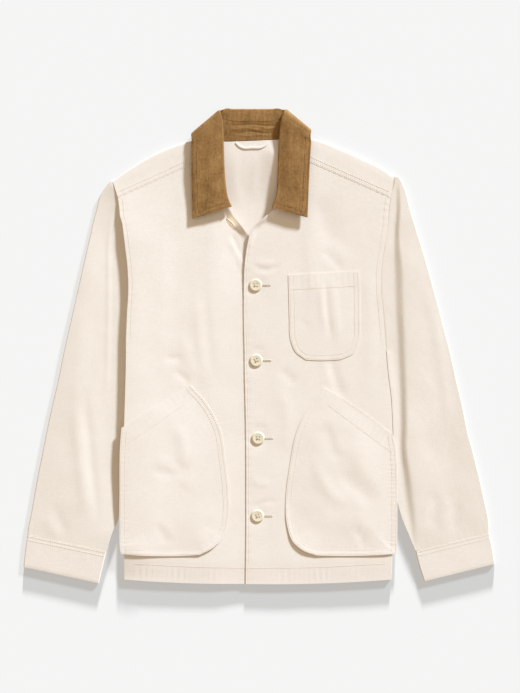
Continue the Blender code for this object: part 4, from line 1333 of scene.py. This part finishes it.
# %% [markdown]
# ## Buttons
#
# A shirt-and-jacket button is turned from a blank: a flat back, a rounded rim and a sunk
# middle with four holes. A lathe profile is spun into a disc and the holes are drilled with
# a Boolean. The thread is sewn in a cross through the holes, and is its own small mesh.

# %% Turn the buttons
BUTTON_DIAMETER, BUTTON_THICKNESS = 21.0, 3.2
HOLE_DIAMETER, HOLE_PITCH = 2.4, 4.4
BUTTON_HEIGHT = 7.5
# x, y, height of the middle, tilt and heading of the tilt in degrees
BUTTONS = tuple((x, y, BUTTON_HEIGHT, 0, 0) for x, y in BUTTON_ROW) + (
    (-46.7, 198.9, 12.5, 80, 225),)


def streaked(name, stretch, scale, detail, tones, depth, inputs):
    """A material with streaks between two tones, which stand depth millimetres high."""
    made, tree, shader = new_material(name)
    place = tree.nodes.new("ShaderNodeTexCoord")
    streaks = noise_node(tree, place.outputs["Object"], stretch, scale, detail)
    tree.links.new(ramp(tree, streaks, *tones), shader.inputs["Base Color"])
    bump(tree, shader, streaks, depth * MM)
    set_inputs(shader, inputs)
    return made


def thread(color, name):
    """Twisted cotton thread."""
    low = tuple(value * 0.9 for value in color[:3]) + (1,)
    return streaked(name, (1, 1, 1), 2500, 2, (low, color), 0.06, {"Roughness": 0.8})


# pale, faintly streaked button plastic with a soft shine
HORN = streaked("button_horn", (1, 5, 1), 120, 4, (linear(231, 215, 189), linear(246, 231, 206)),
                0.05, {"Roughness": 0.42, "Specular IOR Level": 0.45, "Subsurface Weight": 0.05})
BUTTON_THREAD = 0.13       # its radius
CREAM_THREAD = thread(linear(236, 223, 207), "cream_thread")
BROWN_THREAD = thread(linear(110, 76, 42), "brown_thread")
HOLE_PLACES = [(across * HOLE_PITCH / 2, up * HOLE_PITCH / 2)
               for across, up in ((1, 1), (-1, 1), (-1, -1), (1, -1))]


def as_mesh(shape, name):
    """A finished bmesh as a mesh."""
    mesh = bpy.data.meshes.new(name)
    shape.to_mesh(mesh)
    shape.free()
    return mesh


def button_blank():
    """The turned disc, without its holes."""
    radius, thick = BUTTON_DIAMETER / 2, BUTTON_THICKNESS
    profile = ((0, -.5), (.74, -.5), (.9, -.42), (.97, -.3), (1, -.14), (.985, .0), (.95, .12),
               (.9, .23), (.84, .3), (.78, .33), (.73, .33), (.68, .31), (.63, .28), (.57, .265),
               (.3, .26), (0, .26))
    disc = bmesh.new()
    points = [disc.verts.new((across * radius * MM, 0, up * thick * MM)) for across, up in profile]
    for first, second in zip(points, points[1:]):
        disc.edges.new((first, second))
    bmesh.ops.spin(disc, geom=disc.verts[:] + disc.edges[:], axis=(0, 0, 1), cent=(0, 0, 0),
                   angle=math.tau, steps=48, use_merge=True)
    bmesh.ops.remove_doubles(disc, verts=disc.verts, dist=1e-6)
    bmesh.ops.recalc_face_normals(disc, faces=disc.faces)
    return as_mesh(disc, "button_blank")


def in_order(mesh, name):
    """The same mesh, with its points and faces numbered by where they are.

    A Boolean numbers them anew in each run, and its flat faces would then be cut into other
    triangles.
    """
    places = [tuple(vertex.co) for vertex in mesh.vertices]
    order = sorted(range(len(places)), key=places.__getitem__)
    number = {old: new for new, old in enumerate(order)}
    faces = []
    for face in mesh.polygons:
        corners = [number[corner] for corner in face.vertices]
        first = corners.index(min(corners))
        faces.append(corners[first:] + corners[:first])
    made = bpy.data.meshes.new(name)
    made.from_pydata([places[old] for old in order], [], sorted(faces))
    return made


def drilled_button():
    """The blank with four holes through it."""
    drill = bmesh.new()
    for x, y in HOLE_PLACES:
        bmesh.ops.create_cone(drill, cap_ends=True, segments=16, radius1=HOLE_DIAMETER / 2 * MM,
                              radius2=HOLE_DIAMETER / 2 * MM, depth=3 * BUTTON_THICKNESS * MM,
                              matrix=Matrix.Translation((x * MM, y * MM, 0)))
    cutter = add("cutter", as_mesh(drill, "holes"))
    blank = add("blank", button_blank())
    cut = blank.modifiers.new("holes", "BOOLEAN")
    cut.operation, cut.object = "DIFFERENCE", cutter
    mesh = in_order(applied(blank), "button")
    for made in (blank, cutter):
        bpy.data.objects.remove(made)
    mesh.shade_smooth()
    mesh.set_sharp_from_angle(angle=SHARP)
    return mesh


def tube_mesh(name, lines, radius, sides=6):
    """Round threads along several lines of points, in millimetres."""
    points, faces = [], []
    for line in lines:
        line = np.array(line, float)
        along = unit(np.gradient(line, axis=0))
        beside = unit(np.cross(along, (0.13, 0.21, 0.97)))
        above = np.cross(beside, along)
        start = len(points)
        for row, (middle, right, up) in enumerate(zip(line, beside, above)):
            thin = 0.55 if row in (0, len(line) - 1) else 1.0
            for side in range(sides):
                angle = math.tau * side / sides
                away = right * math.cos(angle) + up * math.sin(angle)
                points.append((middle + away * radius * thin) * MM)
        for row in range(len(line) - 1):
            for side in range(sides):
                a, b = start + row * sides + side, start + row * sides + (side + 1) % sides
                faces.append((a, b, b + sides, a + sides))
        faces.append(tuple(start + side for side in range(sides))[::-1])
        faces.append(tuple(start + (len(line) - 1) * sides + side for side in range(sides)))
    mesh = bpy.data.meshes.new(name)
    mesh.from_pydata([tuple(point) for point in points], [], faces)
    mesh.shade_smooth()
    return add(name, mesh)


def thread_cross():
    """Two threads side by side along each arm of the cross, down into a hole at both ends."""
    lines = []
    for (ax, ay), (bx, by) in (HOLE_PLACES[::2], HOLE_PLACES[1::2]):
        for shift in (-0.2, 0.2):
            aside = shift * (1 if ax * ay < 0 else -1)
            lines.append([(mix(ax, bx, share) + aside, mix(ay, by, share) + shift,
                           BUTTON_THICKNESS * 0.26 + 0.4 * math.sin(math.pi * share)
                           - (1.2 if share in (0, 1) else 0))
                          for share in (0, .12, .3, .5, .7, .88, 1)])
    return lines


def place_buttons():
    """Five buttons with their thread, where the CAD has them."""
    mesh = drilled_button()
    mesh.materials.clear()
    mesh.materials.append(HORN)
    for number, (x, y, z, tilt, heading) in enumerate(BUTTONS, 1):
        made = add(f"front_button_{number}", mesh)
        made.location = (x * MM, y * MM, z * MM)
        if tilt == 0:
            heading += 17 * number % 40 - 12
        made.rotation_euler = (0, math.radians(tilt), math.radians(heading))
        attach(made, "root")
        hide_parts(f"button_{number}")
        made.visible_shadow = tilt < 45
        sewn = tube_mesh(f"button_thread_{number}", thread_cross(), BUTTON_THREAD)
        sewn.data.materials.append(CREAM_THREAD)
        sewn.parent = made
        sewn.visible_shadow = made.visible_shadow


place_buttons()
print("buttons:", len(BUTTONS), "of", BUTTON_DIAMETER, "mm")

# %% [markdown]
# ## Stitches and buttonholes
#
# Topstitching is real thread: a stitch of about 2.4 mm, a gap where it dips into the cloth,
# and the next. `sew` walks along a line, drops each point straight down onto the cloth with
# a ray, and lays a short thread there. A buttonhole is a slit with a bead of thread packed
# round it, made of many short stitches across its two lips.

# %% Sew along lines
STITCH, PITCH = 2.4, 3.3
FIRST_STITCH = 1.5
STITCH_RISE, STITCH_SINK = 0.18, 0.12      # its middle above the cloth, and its ends in it
THREAD_RADIUS = 0.27


def drop(surface, x, y):
    """The height of a piece's outer side at a point, in millimetres, or None beside it."""
    hit = surfaces[surface].ray_cast(Vector((x * MM, y * MM, 0.1)), Vector((0, 0, -1)))
    return None if hit[0] is None else hit[0].z / MM


def stitches(surface, line):
    """Short threads along a line on a piece."""
    line = dense_rows(line, 1.0) if len(line) > 2 else np.array(line, float)
    steps = np.concatenate([[0], np.cumsum(np.linalg.norm(np.diff(line, axis=0), axis=1))])
    made = []
    for start in np.arange(FIRST_STITCH, steps[-1] - STITCH, PITCH):
        points = []
        for share in (0, 0.25, 0.75, 1):
            x, y = (np.interp(start + share * STITCH, steps, column) for column in line.T)
            height = drop(surface, x, y)
            if height is None:
                break
            points.append((x, y, height + (STITCH_RISE if 0 < share < 1 else -STITCH_SINK)))
        if len(points) == 4:
            made.append(points)
    return made


def sew(name, surface, lines, material=CREAM_THREAD):
    """All the stitches of one piece, as one mesh."""
    threads = [thread for line in lines for thread in stitches(surface, line)]
    made = tube_mesh(name, threads, THREAD_RADIUS, sides=5)
    made.data.materials.append(material)
    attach(made, "root")
    print(f"{name}: {len(threads)} stitches")


sew("stitches_left_front", "left_front",
    [left_lines["armhole"], left_lines["hem"], left_lines["placket"]])
sew("stitches_right_front", "right_front",
    [right_lines["armhole"], right_lines["hem"]])
sew("stitches_back", "back_panel",
    [shifted(seam, row) for seam in (YOKE_LEFT, YOKE_RIGHT) for row in YOKE_STITCHES])
sew("stitches_chest_pocket", "chest_patch", chest_lines.values())
sew("stitches_left_pocket", "left_patch", left_pocket_lines.values())
sew("stitches_right_pocket", "right_patch", right_pocket_lines.values())
for side, seam in (("left", left_cuff_stitch), ("right", right_cuff_stitch)):
    sew(f"stitches_{side}_cuff", f"{side}_cuff", [seam, shifted(seam, -CUFF_ROWS)])
sew("stitches_collar", "collar_leaves", collar_lines, BROWN_THREAD)


# %% Buttonholes
HOLE_LENGTH, HOLE_FROM_BUTTON = 15.0, 8.5
# a stitch over a lip, point by point: how far from the slit, its slant, and its height
LIP_STITCH = ((0.35, 0, 0.1), (0.9, 0.1, 0.45), (1.5, 0, 0.05))


def buttonhole(name, x, y):
    """A slit with two packed lips of thread, running away from the button."""
    threads = []
    for lip in (-1, 1):
        for run in np.arange(0, HOLE_LENGTH, 0.55):
            base = drop("left_front", x + run, y + lip * LIP_STITCH[1][0])
            threads.append([(x + run + slant, y + lip * away, base + rise)
                            for away, slant, rise in LIP_STITCH])
    end = x + HOLE_LENGTH
    base = drop("left_front", end, y)
    for angle in np.linspace(-0.5 * math.pi, 0.5 * math.pi, 7):
        threads.append([(end + away * math.cos(angle), y + away * math.sin(angle), base + rise)
                        for away, _, rise in LIP_STITCH])
    made = tube_mesh(name, threads, 0.3, sides=5)
    made.data.materials.append(CREAM_THREAD)
    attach(made, "root")


for number, (x, y) in enumerate(BUTTON_ROW, 1):
    buttonhole(f"buttonhole_{number}", x + HOLE_FROM_BUTTON, y)
print("buttonholes:", len(BUTTON_ROW))
